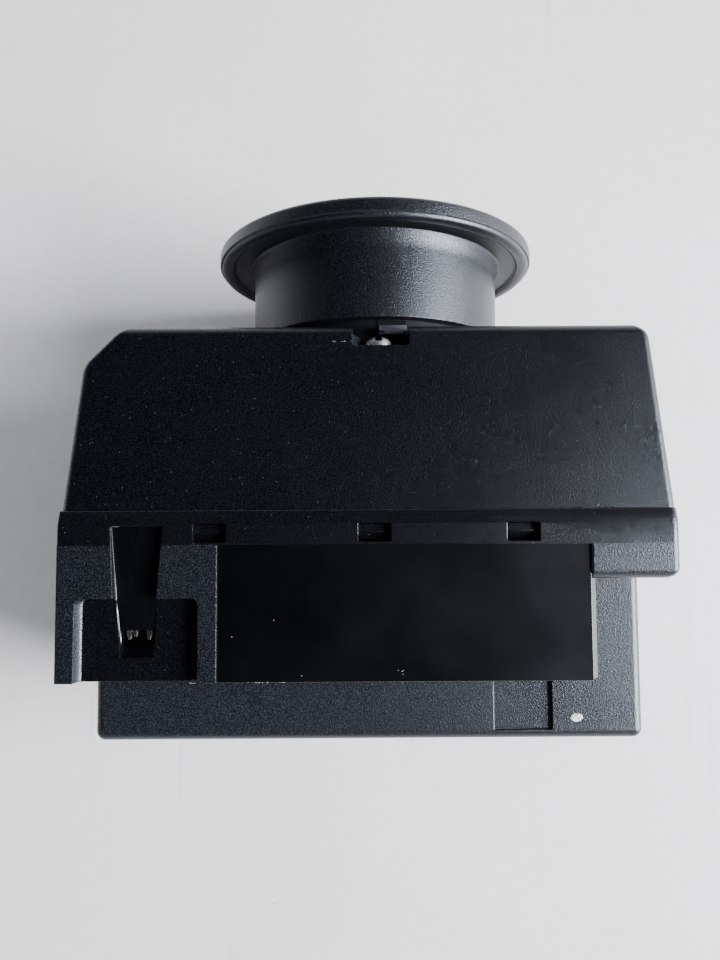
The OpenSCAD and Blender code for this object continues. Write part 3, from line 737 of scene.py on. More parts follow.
@dataclass(frozen=True)
class PaintedTable(Finish):
    """A table top of white gloss-painted board.

    The eye gets a pale surface that is slightly uneven, with faint scratches and crumbs.
    """

    def build(self) -> bpy.types.Material:
        """Builds the unevenness, the scratches and the crumbs.

        Returns:
            The finished material.
        """
        shade = Shading(self.name)
        cloud = shade.patches(60, 0.3, 0.7)
        mottle = shade.patches(2.2, 0.3, 0.7)
        both = shade.add("Math", {0: mottle, 1: 0.6, 2: cloud}, operation="MULTIPLY_ADD")[0]
        both = shade.add("Math", {0: both, 1: 0.62}, operation="MULTIPLY")[0]
        colour = shade.add("Mix", {0: both, 6: srgb("d9d1c5"), 7: srgb("e8e1d6")}, data_type="RGBA")[2]
        hair = shade.add("MapRange", {0: shade.drawn(3, (1, 0.04, 1), 4), 1: 0.66, 2: 0.72, 3: 0.0, 4: 0.22})[0]
        colour = shade.add("Mix", {0: hair, 6: colour, 7: srgb("a7a59f")}, data_type="RGBA")[2]
        crumbs = shade.add("Math", {0: shade.specks(9, 0.2, 0.2), 1: 0.8}, operation="MULTIPLY")[0]
        colour = shade.add("Mix", {0: crumbs, 6: colour, 7: srgb("8b8984")}, data_type="RGBA")[2]
        wave = shade.add("TexNoise", {"Vector": shade.where, "Scale": 1 / (5 * MM), "Detail": 3.0})[0]
        normal = shade.add("Bump", {"Height": wave, "Distance": 0.03 * MM, "Strength": 1.0})[0]
        rough = shade.add("MapRange", {0: cloud, 1: 0.0, 2: 1.0, 3: 0.42, 4: 0.5})[0]
        values = {"Base Color": colour, "Roughness": rough, "Normal": normal}
        shade.add("OutputMaterial", {"Surface": shade.add("BsdfPrincipled", values)[0]})
        return shade.material


# Finely grained and darkest of the mouldings: the eye gets black that turns grey towards the window.
SHELL_PLASTIC = GrainedPlastic("glass_filled_pbt_fine_grain", "010102", "0f1013", 0.12, 0.034, 0.28, 0.02)
# Coarser grain on the connector side: the eye gets a drier, greyer black with more sparkle.
HOUSING_PLASTIC = GrainedPlastic("glass_filled_pbt_coarse_grain", "07080a", "232529", 0.13, 0.042, 0.31, 0.03)
# The same moulding drawn lighter, with more dust specks: on the rear body's top, and as painted light on the notch
# webs' slopes that face the window. The eye gets the lightest of the black faces.
LIGHTER_DUSTY_PLASTIC = GrainedPlastic("glass_filled_pbt_lighter_dusty", "0c0d0f", "292b2f", 0.13, 0.042, 0.31, 0.03, 0.04)
# Less glass in it: the eye gets a soft highlight along the neck with a visible grain.
COLLAR_PLASTIC = GrainedPlastic("glass_filled_pa66_collar", "050506", "1d1e21", 0.13, 0.042, 0.3, 0.03)
# Polished faces where the plug's latch slides: the eye gets the deepest black, cut out sharply.
RAMP_PLASTIC = SmoothPlastic("polished_pbt_ramp", "020203", "050607", 0.26, 0.06)
# The tool is finer on the lip and in the clip windows: the eye gets a smoother, closer black.
LAND_PLASTIC = GrainedPlastic("glass_filled_pbt_fine_lands", "020203", "0e0f11", 0.12, 0.028, 0.28, 0.02, 0.02)
# Acetal drawn near black as painted shade in the gap behind the neck, with a low IOR that weakens its reflection: the
# eye gets a dark, slightly waxy barrel there.
SHADED_SLEEVE_PLASTIC = SmoothPlastic("pom_sleeve_painted_shade", "030303", "060607", 0.55, ior=1.3)
# The sleeve's tab drawn mid-grey as painted light, where it stands lit in the notch: the eye gets a mid-grey corner
# beside the screw.
LIT_TAB_PLASTIC = SmoothPlastic("pom_tab_painted_light", "2c2d2f", "38393b", 0.5)
# Black acetal: the eye gets a satin barrel inside the collar.
ROTOR_PLASTIC = SmoothPlastic("black_pom_rotor", "0a0a0b", "131315", 0.4)
# Glossy acrylic-butadiene: the eye gets a near mirror round the key slot.
FACE_PLASTIC = SmoothPlastic("piano_black_abs_face", "050506", "0a0a0b", 0.16, 0.06)
# Dark acetal: the eye can tell the pusher from the rotor round it.
PUSHER_PLASTIC = SmoothPlastic("dark_grey_pom_pusher", "242528", "2f3034", 0.4)
# Nylon: the eye gets a dull charcoal frame.
FRAME_PLASTIC = SmoothPlastic("charcoal_pa66_frame", "26272a", "303136", 0.5)
# Liquid crystal polymer: the eye gets a dull black insulator behind bright pins.
HEADER_PLASTIC = SmoothPlastic("black_lcp_header", "0c0c0d", "17181a", 0.5)
# Relay cases: the eye gets a plain satin black.
RELAY_PLASTIC = SmoothPlastic("black_pbt_relay_case", "101113", "1b1c1f", 0.34)
# Phenolic: the eye gets a hard, dull black.
SWITCH_PLASTIC = SmoothPlastic("black_phenolic_switch", "101012", "1a1a1d", 0.5)
# Red acetal: the eye finds the switch's plunger by its colour.
SWITCH_RED = SmoothPlastic("red_pom_switch_plunger", "8f1b16", "a5261f", 0.38)
# Moulded epoxy: the eye gets a matt charcoal package.
CHIP_EPOXY = SmoothPlastic("moulded_epoxy_package", "151617", "1e1f21", 0.55)
# Shrunk film: the eye gets a glossy dark blue can.
CAN_FILM = SmoothPlastic("dark_blue_pet_sleeve", "10162c", "182042", 0.28)
# Pressed ferrite: the eye gets a rough stone grey.
FERRITE = SmoothPlastic("sintered_ferrite", "2c2c2e", "3d3d40", 0.72, 0.15)
# Dyed epoxy: the eye gets a glossy violet-black lens.
EMITTER_RESIN = SmoothPlastic("smoked_epoxy_resin", "140d1c", "20142c", 0.12, 0.05)
# Bright zinc plate: the eye gets silver heads with a faint yellow cast.
ZINC_STEEL = PlatedMetal("zinc_plated_steel", "c4c6c6", "a5a190", 0.42, 0.12)
# Drawn wire: the eye gets a darker, streaked steel.
SPRING_STEEL = PlatedMetal("drawn_spring_steel", "a9aaab", "7d7a74", 0.24, 0.1)
# Die-cast zinc: the eye gets a dull warm grey.
CAM_ZINC = PlatedMetal("die_cast_zinc_cam", "a5a49f", "85837c", 0.42, 0.3)
# Tin plate: the eye gets pale, slightly yellow pins.
TINNED_BRASS = PlatedMetal("tin_plated_brass", "dcdcd6", "bdb79c", 0.42, 0.08)
# Fine wire round the sleeve: the eye gets amber ridges along Y.
COPPER_WINDING = EnamelledWire("enamelled_copper_wire")
# The solenoid's wire: the same ridges, along X.
SOLENOID_WINDING = EnamelledWire("enamelled_copper_solenoid", 0.3, Along.X)
# The board: the eye gets glossy green.
BOARD_MASK = SolderMask("green_solder_mask")
# A dab from a brush: the eye gets an off-white dot, thin at its edge.
WHITE_PAINT = RoughCover("white_inspection_paint")
# Stress-whitened plastic: the eye gets small pale nicks along a few edges.
TORN_EDGE = RoughCover("stress_whitened_pbt", "6f6e6a", "c4c2bb", 0.12, 0.75)
# The table: the eye gets a warm, pale ground.
TABLE_PAINT = PaintedTable("white_painted_board")


# ----------------------------------------------------------------------------- the module


@dataclass(frozen=True)
class Places:
    """Places that several sub-assemblies share, measured on the CAD nodes."""

    half: float
    top: float
    rear: float
    hood: float
    lip: float
    step: float
    front: float
    tip: float
    plate_x0: float
    plate_x1: float
    plate_z0: float
    axis_x: float
    axis_z: float

    @classmethod
    def from_frame(cls) -> "Places":
        """Measures the housing, the plate, the shell and the collar.

        Returns:
            The shared places in millimetres.
        """
        housing_low, housing_high = cad_box("rear_housing")
        plate_low, plate_high = cad_box("label_plate")
        shell_high = cad_box("front_shell")[1]
        collar_low, collar_high = cad_box("collar_ring")
        centre = (collar_low + collar_high) / 2
        return cls(
            half=housing_high.x,
            top=housing_high.z,
            rear=housing_low.y,
            hood=plate_low.y,
            lip=plate_high.y,
            step=housing_high.y,
            front=shell_high.y,
            tip=collar_high.y,
            plate_x0=plate_low.x,
            plate_x1=plate_high.x,
            plate_z0=plate_low.z,
            axis_x=centre.x,
            axis_z=centre.z,
        )


def ring_y(y: float, x0: float, x1: float, z0: float, z1: float, radii: Sequence[float], steps: int = 6) -> Ring:
    """Gives a rounded rectangle across Y as a ring for a loft.

    Args:
        y: The ring's place along Y.
        x0: Its left side.
        x1: Its right side.
        z0: Its underside.
        z1: Its top.
        radii: The corner radii, anticlockwise from the lower left.
        steps: Segments of each corner.

    Returns:
        The ring's points.
    """
    outline = rounded(rectangle(x0, x1, z0, z1), [max(r, 0.02) for r in radii], steps)
    return [(u, y, v) for u, v in outline]


def dress_faces(piece: bpy.types.Object, finish: Finish, test: Callable[[Vector, Vector], bool]) -> None:
    """Gives the faces that pass a test a second finish.

    Args:
        piece: The piece, which has its main finish already.
        finish: The second finish.
        test: Takes a face's middle in millimetres and its normal.
    """
    piece.data.materials.append(finish.material())
    number = len(piece.data.materials) - 1
    for face in piece.data.polygons:
        if test(face.center / MM, face.normal):
            face.material_index = number


def eased_copy(node: str, name: str, width: float) -> bpy.types.Object:
    """Rebuilds a CAD node's form with whole flat faces and softened edges.

    Args:
        node: The CAD node.
        name: The new piece's name.
        width: The width of the rounds.

    Returns:
        The new piece.
    """
    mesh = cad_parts[node].data
    points = [tuple(v.co / MM) for v in mesh.vertices]
    piece = mesh_piece(name, points, [list(p.vertices) for p in mesh.polygons])
    flat = piece.modifiers.new("flat", "DECIMATE")
    flat.decimate_type = "DISSOLVE"
    flat.angle_limit = math.radians(0.5)
    bake_modifiers(piece)
    return soften(piece, width)


@dataclass
class RearHousing:
    """The lip band, the connector hood, the ear and the rear body, in one moulding."""

    places: Places
    wall: float = 1.6
    lip_slope: float = 1.7
    lip_drop: float = 0.6
    lip_r: float = 1.0
    left_r: float = 0.3
    rear_half: float = 37.8
    rear_h: float = 39.0
    rear_r: float = 1.3
    ear_len: float = 4.45
    ear_r: float = 1.3
    board_y: float = -11.6
    window_x: tuple[float, ...] = (-19.7, 0.7, 19.1)
    window_half: float = 2.0
    socket_floor: float = -15.5
    socket_z: tuple[float, float] = (40.5, 48.0)
    small_x: float = -28.45
    small_w: float = 15.4
    large_x: float = 4.35
    large_w: float = 44.0
    recess_y: float = -15.7
    recess_z: float = 49.5
    recess_slope: float = 0.64
    window_y: tuple[float, float] = (-23.0, -19.75)
    channel: tuple[float, float] = (17.2, 25.2)
    channel_d: float = 0.5
    post: tuple[float, float, float] = (30.5, 9.0, 33.5)

    def build(self) -> bpy.types.Object:
        """Builds and dresses the moulding.

        Returns:
            The finished piece.
        """
        at = self.places
        body = combine(self.lip_band(), [self.rear_body(), self.hood_block(), self.label_land(), self.ear()], "UNION")
        combine(body, self.hollows() + self.windows() + self.sockets() + self.landing())
        soften(body, 0.14)
        finish_piece(body, HOUSING_PLASTIC, "housing", ["rear_housing"])
        dress_faces(body, LAND_PLASTIC, self.is_land)
        dress_faces(body, RAMP_PLASTIC, self.is_ramp)
        # The rear body's upper faces get the lighter finish with more dust specks.
        dress_faces(body, LIGHTER_DUSTY_PLASTIC, self.is_lighter_top)
        log.info("rear housing spans Y %.2f to %.2f mm", at.rear, at.step)
        return body

    def is_land(self, middle: Vector, normal: Vector) -> bool:
        """Tells whether a face lies where the tool's grain is finer.

        Args:
            middle: The face's middle.
            normal: The face's normal.

        Returns:
            True on both broad sides of the lip and on the recess's floor.
        """
        at = self.places
        on_lip = middle.y > at.lip and not 1.7 < middle.z < at.top - 1.7
        on_floor = abs(middle.z - self.recess_z) < 0.03 and normal.z > 0.9 and middle.x < at.plate_x0
        return on_lip or on_floor

    def is_ramp(self, middle: Vector, normal: Vector) -> bool:
        """Tells whether a face lies on a polished part of the tool.

        Args:
            middle: The face's middle.
            normal: The face's normal, which is not used.

        Returns:
            True on the latch's ramp and inside the sockets.
        """
        at = self.places
        crossing = at.hood + 2 < middle.y < at.step - 1 and abs(middle.x - self.small_x) < 3.6
        on_ramp = crossing and 47 < middle.z < at.top - 0.15 and abs(middle.z - self.recess_z) > 0.03
        in_socket = at.hood + 0.4 < middle.y < self.board_y and 40 < middle.z < 48.5 and abs(middle.x) < 37
        return on_ramp or in_socket

    def is_lighter_top(self, middle: Vector, normal: Vector) -> bool:
        """Tells whether a face lies on the rear body's upper side, which gets the lighter finish.

        Args:
            middle: The face's middle.
            normal: The face's normal.

        Returns:
            True on the upward faces of the rear body behind the hood.
        """
        return middle.y < self.places.hood + 5 and normal.z > 0.3 and self.rear_h - 2 < middle.z < self.rear_h + 0.1

    def lip_band(self) -> bpy.types.Object:
        """Lofts the band, whose front slopes down on both broad faces.

        Returns:
            The lip band.
        """
        at, r = self.places, [self.left_r, self.lip_r, self.lip_r, self.left_r]
        stations = [(at.lip, 0.0), (at.step - self.lip_slope, 0.0), (at.step, self.lip_drop)]
        return loft("housing_moulding", [ring_y(y, -at.half, at.half, d, at.top - d, r) for y, d in stations])

    def rear_body(self) -> bpy.types.Object:
        """Lofts the box behind the lip, with round edges at its back.

        Returns:
            The rear body.
        """
        at, r = self.places, self.rear_r
        rings: list[Ring] = []
        for k in range(9):
            t = math.pi / 2 * k / 8
            inset = r * (1 - math.sin(t))
            span = self.rear_half - inset
            rings.append(ring_y(at.rear + r * (1 - math.cos(t)), -span, span, inset, self.rear_h - inset, [r - inset] * 4))
        rings.append(ring_y(at.lip, -self.rear_half, self.rear_half, 0, self.rear_h, [r] * 4))
        return loft("rear_body", rings)

    def hood_block(self) -> bpy.types.Object:
        """Makes the hood's full-height block.

        Returns:
            The block.
        """
        at = self.places
        outline = rectangle(-at.half, at.plate_x0, self.rear_h - 2.8, at.top)
        return prism("hood_block", outline, Along.Y, at.hood, at.lip)

    def label_land(self) -> bpy.types.Object:
        """Makes the lower part of the hood that carries the plate, with its sloped edge.

        Returns:
            The land.
        """
        at = self.places
        right = at.plate_x1 + 1
        outline = [(at.plate_x0 - 0.5, self.rear_h - 2.8), (right, self.rear_h - 2.8), (right, at.plate_z0 - 1.2)]
        outline += [(at.plate_x1, at.plate_z0), (at.plate_x0 - 0.5, at.plate_z0)]
        return prism("label_land", outline, Along.Y, at.hood, at.lip)

    def ear(self) -> bpy.types.Object:
        """Lofts the ear beside the plate, with round edges at its back.

        Returns:
            The ear.
        """
        at, r = self.places, self.ear_r
        back = at.lip - self.ear_len
        rings: list[Ring] = []
        for k in range(7):
            t = math.pi / 2 * k / 6
            inset = r * (1 - math.sin(t))
            radii = [0.02, self.lip_r, self.lip_r, 0.3]
            y = back + r * (1 - math.cos(t))
            rings.append(ring_y(y, at.plate_x1, at.half - inset, inset, at.top - inset, radii))
        rings.append(ring_y(at.lip, at.plate_x1, at.half, 0, at.top, [0.02, self.lip_r, self.lip_r, 0.3]))
        return loft("ear", rings)

    def hollows(self) -> list[bpy.types.Object]:
        """Makes the tools that leave room for the board and the shell's skirt.

        Returns:
            The tools.
        """
        at, w = self.places, self.wall
        inner = self.rear_half - w
        behind = block("behind_board", (-inner + 1.2, at.rear + w, w + 1.2), (inner - 1.2, self.board_y + 0.1, self.rear_h - 2.6))
        post_x, low, high = self.post
        posts = [rod("post", (sx * post_x, z), 2.6, at.rear, self.board_y, 24) for sx in (-1, 1) for z in (low, high)]
        combine(behind, posts)
        pocket = block("board_pocket", (-inner, self.board_y, w), (inner, at.step + 0.5, at.top - w))
        side = at.half - w
        skirt = block("skirt_pocket", (-side, at.lip + 0.65, w), (side, at.step + 0.5, at.top - w))
        spots = [(sx * post_x, z) for sx in (-1, 1) for z in (low, high)]
        holes = [rod("post_hole", spot, 1, self.board_y - 10, self.board_y + 0.1, 20) for spot in spots]
        return [behind, pocket, skirt, *holes]

    def windows(self) -> list[bpy.types.Object]:
        """Makes the tools for the three clip windows of each broad face.

        Returns:
            The tools.
        """
        at, w = self.places, self.wall
        y0, y1 = at.lip + 0.32, at.step - self.lip_slope
        tools: list[bpy.types.Object] = []
        for x in self.window_x:
            low, high = x - self.window_half, x + self.window_half
            tools.append(block("window", (low, y0, at.top - w - 0.3), (high, y1, at.top + 0.5)))
            tools.append(block("window", (low, y0, -0.5), (high, y1, w + 0.3)))
        return tools

    def sockets(self) -> list[bpy.types.Object]:
        """Makes the tools for both connector sockets and their through slots.

        Returns:
            The tools.
        """
        at = self.places
        z0, z1 = self.socket_z
        tools: list[bpy.types.Object] = []
        for x, width in ((self.small_x, self.small_w), (self.large_x, self.large_w)):
            mouth = rounded(rectangle(x - width / 2, x + width / 2, z0, z1), [0.8] * 4, 4)
            slot = rectangle(x - width / 2 + 1, x + width / 2 - 1, z0 + 0.8, z1 - 0.8)
            tools.append(prism("socket", mouth, Along.Y, at.hood - 0.5, self.socket_floor))
            tools.append(prism("slot", slot, Along.Y, self.socket_floor - 0.1, self.board_y + 0.1))
        return tools

    def landing(self) -> list[bpy.types.Object]:
        """Makes the tools for the latch's landing, its ramp, its window and the channel.

        Returns:
            The tools.
        """
        at, x = self.places, self.small_x
        over = at.top + 0.5
        left, right = x - 7.75, x + 7.35
        # The left wall is a hollow curve, steep at its top and flat where it meets the floor.
        rings: list[Ring] = []
        for k in range(7):
            t = math.pi / 2 * k / 6
            x0 = left + self.recess_slope * (1 - math.sin(t))
            z = self.recess_z + (at.top - self.recess_z) * (1 - math.cos(t))
            outline = rounded(rectangle(x0, right, at.hood - 0.5, self.recess_y), [0.02, 0.02, 0.8, 0.9], 5)
            rings.append([(u, v, z) for u, v in outline])
        rings.append([(u, v, over) for u, v, _ in rings[-1]])
        recess = loft("recess", rings)
        stations = [
            (at.step - 1.95, x - 3.45, x + 2.95, at.top - 0.6),
            (self.recess_y, x - 3.05, x + 2.25, self.recess_z),
            (self.window_y[0], x - 2.45, x + 1.55, at.top - 2.1),
        ]
        ramp = loft("ramp", [[(x0, y, z), (x1, y, z), (x1, y, over), (x0, y, over)] for y, x0, x1, z in stations])
        hole = block("latch_window", (x - 2.45, self.window_y[0], self.socket_z[1] - 0.2), (x + 1.35, self.window_y[1], over))
        low, high = self.channel
        channel = block(
            "channel",
            (low, at.rear + self.rear_r, self.rear_h - self.channel_d),
            (high, at.hood + 5, self.rear_h + 1.2),
        )
        return [recess, ramp, hole, channel]


@dataclass
class FrontShell:
    """The tapered front moulding with its skirt, its clip noses and its screw notches."""

    places: Places
    wall: float = 1.6
    joint_inset: float = 0.05
    joint_drop: float = 0.8
    taper_x: float = 1.9
    taper_z: float = 2.2
    corner: Point2 = (4.7, 5.2)
    edge_r: float = 1.5
    side_r: float = 1.1
    corner_extra: float = 1.6
    notch_x: Point2 = (-1.9, 5.4)
    notch_y: float = 16.4
    notch_z: float = 43.0
    screw_reach: float = 19.9
    bore_r: float = 17.9
    pillar: Point2 = (30.0, 16.5)
    pillar_y: float = 9.0
    skirt_t: float = 1.4
    window_x: tuple[float, ...] = (-19.7, 0.7, 19.1)

    def build(self) -> bpy.types.Object:
        """Builds and dresses the moulding.

        Returns:
            The finished piece.
        """
        at = self.places
        shell = self.form("shell_moulding", 0.0, at.step)
        combine(shell, [self.form("hollow", self.wall, at.step - 0.5)])
        combine(shell, self.notch_boxes() + self.pillars() + [self.skirt()] + self.noses(), "UNION")
        combine(shell, self.notches() + self.bores())
        combine(shell, self.gussets(), "UNION")
        soften(shell, 0.13)
        finish_piece(shell, SHELL_PLASTIC, "housing", ["front_shell"])
        dress_faces(shell, LAND_PLASTIC, self.is_polished)
        # The webs' slopes face the window and get the lighter finish: painted light.
        dress_faces(shell, LIGHTER_DUSTY_PLASTIC, self.is_gusset)
        return shell

    def is_gusset(self, middle: Vector, normal: Vector) -> bool:
        """Tells whether a face is the slope of a notch's web, which faces the window and gets the lighter finish as
        painted light.

        Args:
            middle: The face's middle.
            normal: The face's normal.

        Returns:
            True on the slope.
        """
        beside = self.notch_x[0] - 0.3 < middle.x < self.notch_x[0] + 2.5
        return beside and self.notch_y - 0.3 < middle.y < self.notch_y + 2 and normal.x > 0.6 and normal.z > 0.15

    def is_polished(self, middle: Vector, normal: Vector) -> bool:
        """Tells whether a face lies inside the shell or in a notch.

        Args:
            middle: The face's middle.
            normal: The face's normal.

        Returns:
            True on the inner faces and the notch's sides.
        """
        at = self.places
        in_notch = self.notch_x[0] - 0.2 < middle.x < self.notch_x[1] + 0.2 and middle.y > self.notch_y - 0.1
        return middle.y < at.step - 0.05 or (in_notch and abs(normal.z) < 0.9 and middle.z > 30)

    def form(self, name: str, inset: float, start: float) -> bpy.types.Object:
        """Lofts the shell's outer form, or its hollow when inset by the wall.

        Args:
            name: The piece's name.
            inset: How far it stands in from the outer form.
            start: Where it starts along Y.

        Returns:
            The closed form.
        """
        at, r = self.places, max(self.edge_r - inset, 0.5)
        half = at.half - self.joint_inset - inset
        nose = at.half - self.taper_x - inset
        front, bite = at.front - inset, inset * 0.41
        run_x, run_y = self.corner
        right = rounded([(half, at.step), (nose, front), (0, front)], [0, r + 0.8, 0], 10)[:-1]
        left = rounded(
            [(-half, at.step), (-nose - 0.2, front - run_y - bite), (-nose + run_x + bite, front), (0, front)],
            [0, r + self.corner_extra, r + self.corner_extra, 0],
            8,
        )[:-1]
        low = self.joint_drop + inset
        under = rounded([(at.step, low), (front, low + self.taper_z), (front, at.axis_z)], [0, r, 0], 10)[:-1]
        stations = sorted({round(y, 4) for _, y in left + right} | {round(y, 4) for y, _ in under})
        stations = [start] + [y for y in stations if y > start + 0.2]
        rings: list[Ring] = []
        for y in stations:
            x0, x1 = at_y(left, y), at_y(right, y)
            z0 = at_y([(z, v) for v, z in under], y)
            back = max(y - (front - r), 0)
            corner = max(min(math.sqrt(max(r * r - back * back, 0)), self.side_r), 0.3)
            rings.append(ring_y(y, x0, x1, z0, at.top - z0, [corner] * 4, 8))
        return loft(name, rings)

    def mirrored(self, low: Point3, high: Point3, name: str) -> list[bpy.types.Object]:
        """Makes a block and its mirror image on the other broad face.

        Args:
            low: The block's lowest corner.
            high: The block's highest corner.
            name: The blocks' name.

        Returns:
            Both blocks.
        """
        top = self.places.top
        return [block(name, low, high), block(name, (low[0], low[1], top - high[2]), (high[0], high[1], top - low[2]))]

    def notch_boxes(self) -> list[bpy.types.Object]:
        """Makes the walls round both notches, inside the shell.

        Returns:
            One block for each notch.
        """
        at, w = self.places, self.wall
        return self.mirrored(
            (self.notch_x[0] - w, self.notch_y - w, self.notch_z - w),
            (self.notch_x[1] + w, at.front - w + 0.2, at.top - 3.0),
            "notch_box",
        )

    def notches(self) -> list[bpy.types.Object]:
        """Makes the tools for both screw notches.

        Returns:
            One tool for each notch.
        """
        at = self.places
        low = (self.notch_x[0], self.notch_y, self.notch_z)
        return self.mirrored(low, (self.notch_x[1], at.front + 1, at.top + 1), "notch")

    def pillars(self) -> list[bpy.types.Object]:
        """Makes the four bosses that the inner frame is screwed to.

        Returns:
            The bosses.
        """
        at = self.places
        x, z = self.pillar
        spots = [(sx * x, at.axis_z + sz * z) for sx in (-1, 1) for sz in (-1, 1)]
        return [rod("boss", spot, 3, self.pillar_y, at.front - self.wall + 0.3, 24) for spot in spots]

    def skirt(self) -> bpy.types.Object:
        """Makes the ring that slides inside the lip band.

        Returns:
            The ring.
        """
        at, w, t = self.places, self.wall + 0.05, self.skirt_t
        half = at.half - w
        y0, y1 = at.lip + 0.85, at.step + 2.5
        ring = prism("skirt", rounded(rectangle(-half, half, w, at.top - w), [1] * 4, 4), Along.Y, y0, y1)
        inside = rectangle(-half + t, half - t, w + t, at.top - w - t)
        return combine(ring, [prism("skirt_hole", inside, Along.Y, y0 - 0.5, y1 + 0.5)])

    def noses(self) -> list[bpy.types.Object]:
        """Makes the six snap noses that stand in the lip's windows.

        Returns:
            The noses.
        """
        at, w = self.places, self.wall + 0.05
        y0, y1 = at.lip + 0.2, at.step - 1.75
        top = at.top
        outline = [(y0, top - w - self.skirt_t), (at.step, top - w - self.skirt_t), (at.step, top - w), (y1, top - w)]
        outline += [(y1, top - 0.9), (y1 - 1, top - 0.7), (y0, top - w)]
        pieces: list[bpy.types.Object] = []
        for x in self.window_x:
            pieces.append(prism("nose", outline, Along.X, x - 1.95, x + 1.95))
            pieces.append(prism("nose", [(y, top - z) for y, z in outline], Along.X, x - 1.95, x + 1.95))
        return pieces

    def bores(self) -> list[bpy.types.Object]:
        """Makes the tools for the sleeve's bore, the screws' holes and the bosses' holes.

        Returns:
            The tools.
        """
        at = self.places
        behind = self.notch_y - self.wall - 0.5
        x, z = self.pillar
        tools = [rod("bore", (at.axis_x, at.axis_z), self.bore_r, behind, at.front + 1, 96)]
        tools += [rod("screw_hole", (at.axis_x, at.axis_z + s * self.screw_reach), 1.2, behind, at.front, 32) for s in (-1, 1)]
        tools += [
            rod("boss_hole", (sx * x, at.axis_z + sz * z), 1.2, self.pillar_y - 0.5, at.front - self.wall - 1, 20)
            for sx in (-1, 1)
            for sz in (-1, 1)
        ]
        return tools

    def gussets(self) -> list[bpy.types.Object]:
        """Makes the small webs between each notch's side and its floor.

        Returns:
            The webs.
        """
        at = self.places
        x, y = self.notch_x[0] - 0.2, self.notch_y - 0.2
        low, high = self.notch_z - 0.2, at.top - 3.6
        web = [(x, low), (x + 2.3, low), (x + 2.3, low + 0.6), (x, high)]
        under = [(u, at.top - v) for u, v in web]
        return [prism("gusset", outline, Along.Y, y, y + 1.8) for outline in (web, under)]


def at_y(chain: Sequence[Point2], y: float) -> float:
    """Reads a chain of (value, Y) points at one Y, held at the chain's ends.

    Args:
        chain: The points, in order of Y.
        y: Where to read.

    Returns:
        The value there.
    """
    for (v0, y0), (v1, y1) in zip(chain, chain[1:]):
        if y <= y1:
            share = 0.0 if y1 == y0 else min(max((y - y0) / (y1 - y0), 0), 1)
            return v0 + (v1 - v0) * share
    return chain[-1][0]


@dataclass
class Collar:
    """The neck and the flange with its rounded bead."""

    places: Places
    neck_r: float = 19.1
    neck_y: float = 21.15
    seat_y: float = 33.35
    flange_r: float = 24.5
    bead: Point2 = (2.1, 0.6)
    mouth_r: float = 16.2
    bore_r: float = 17.85

    def build(self) -> bpy.types.Object:
        """Turns and dresses the collar.

        Returns:
            The finished piece.
        """
        at = self.places
        collar = lathe("collar_moulding", self.profile(), (at.axis_x, at.axis_z), 180)
        even_shading(collar)
        return finish_piece(collar, COLLAR_PLASTIC, "housing", ["collar_ring"])

    def profile(self) -> list[Point2]:
        """Draws the collar's section, with its bead, its parting line and its soft lips.

        Returns:
            Points of radius and Y.
        """
        at, seat = self.places, self.seat_y
        bead_w, bead_h = self.bead
        inner = self.flange_r - bead_w
        points: list[Point2] = [(self.bore_r, self.neck_y)]
        points += corner_arc((self.bore_r, self.neck_y), (self.neck_r, self.neck_y), (self.neck_r, 25), 0.25, 3)
        points += [(self.neck_r, seat - 2.6), (self.neck_r + 0.12, seat - 1.6), (self.neck_r + 0.34, seat - 0.7)]
        points += corner_arc((self.neck_r + 0.34, seat - 0.7), (self.neck_r + 0.6, seat), (inner, seat), 0.2, 3)
        # A thin ridge inside the bead and a crisp step outside it catch the light as two bright lines.
        points += [(inner - 0.3, seat), (inner - 0.22, seat - 0.2), (inner - 0.08, seat - 0.22), (inner + 0.02, seat)]
        reach = bead_w - 0.3
        for k in range(15):
            t = math.pi * (1 - k / 14)
            points.append((inner + reach / 2 + reach / 2 * math.cos(t), seat - bead_h * math.sin(t) ** 0.8))
        edge = self.flange_r
        points += [(edge - 0.26, seat + 0.06), (edge - 0.14, seat + 0.02), (edge, seat + 0.16), (edge, seat + 1.5)]
        points += [(edge - 0.12, seat + 1.85), (edge - 0.42, seat + 2.1), (edge - 1.2, seat + 2.3)]
        points += [(edge - 3, seat + 2.6), (edge - 5, seat + 2.85)]
        points += [(self.mouth_r + 1.5, at.tip - 0.02), (self.mouth_r + 1.1, at.tip), (self.mouth_r + 0.7, at.tip - 0.06)]
        points += [(self.mouth_r + 0.25, at.tip - 0.3), (self.mouth_r, at.tip - 0.7), (self.mouth_r, seat + 0.25)]
        return points + [(self.bore_r, seat + 0.25)]


@dataclass
class LabelPlate:
    """The blank plate on the hood."""

    places: Places

    def build(self) -> bpy.types.Object:
        """Cuts and dresses the plate.

        Returns:
            The finished piece.
        """
        low, high = cad_box("label_plate")
        outline = rounded(rectangle(low.x, high.x, low.y, high.y), [0.3, 0.3, 0.3, 0.3], 4)
        plate = soften(prism("blank_plate", outline, Along.Z, low.z, high.z), 0.09, 3)
        return finish_piece(plate, FilmPlate("printed_polycarbonate_film"), "housing", ["label_plate"])


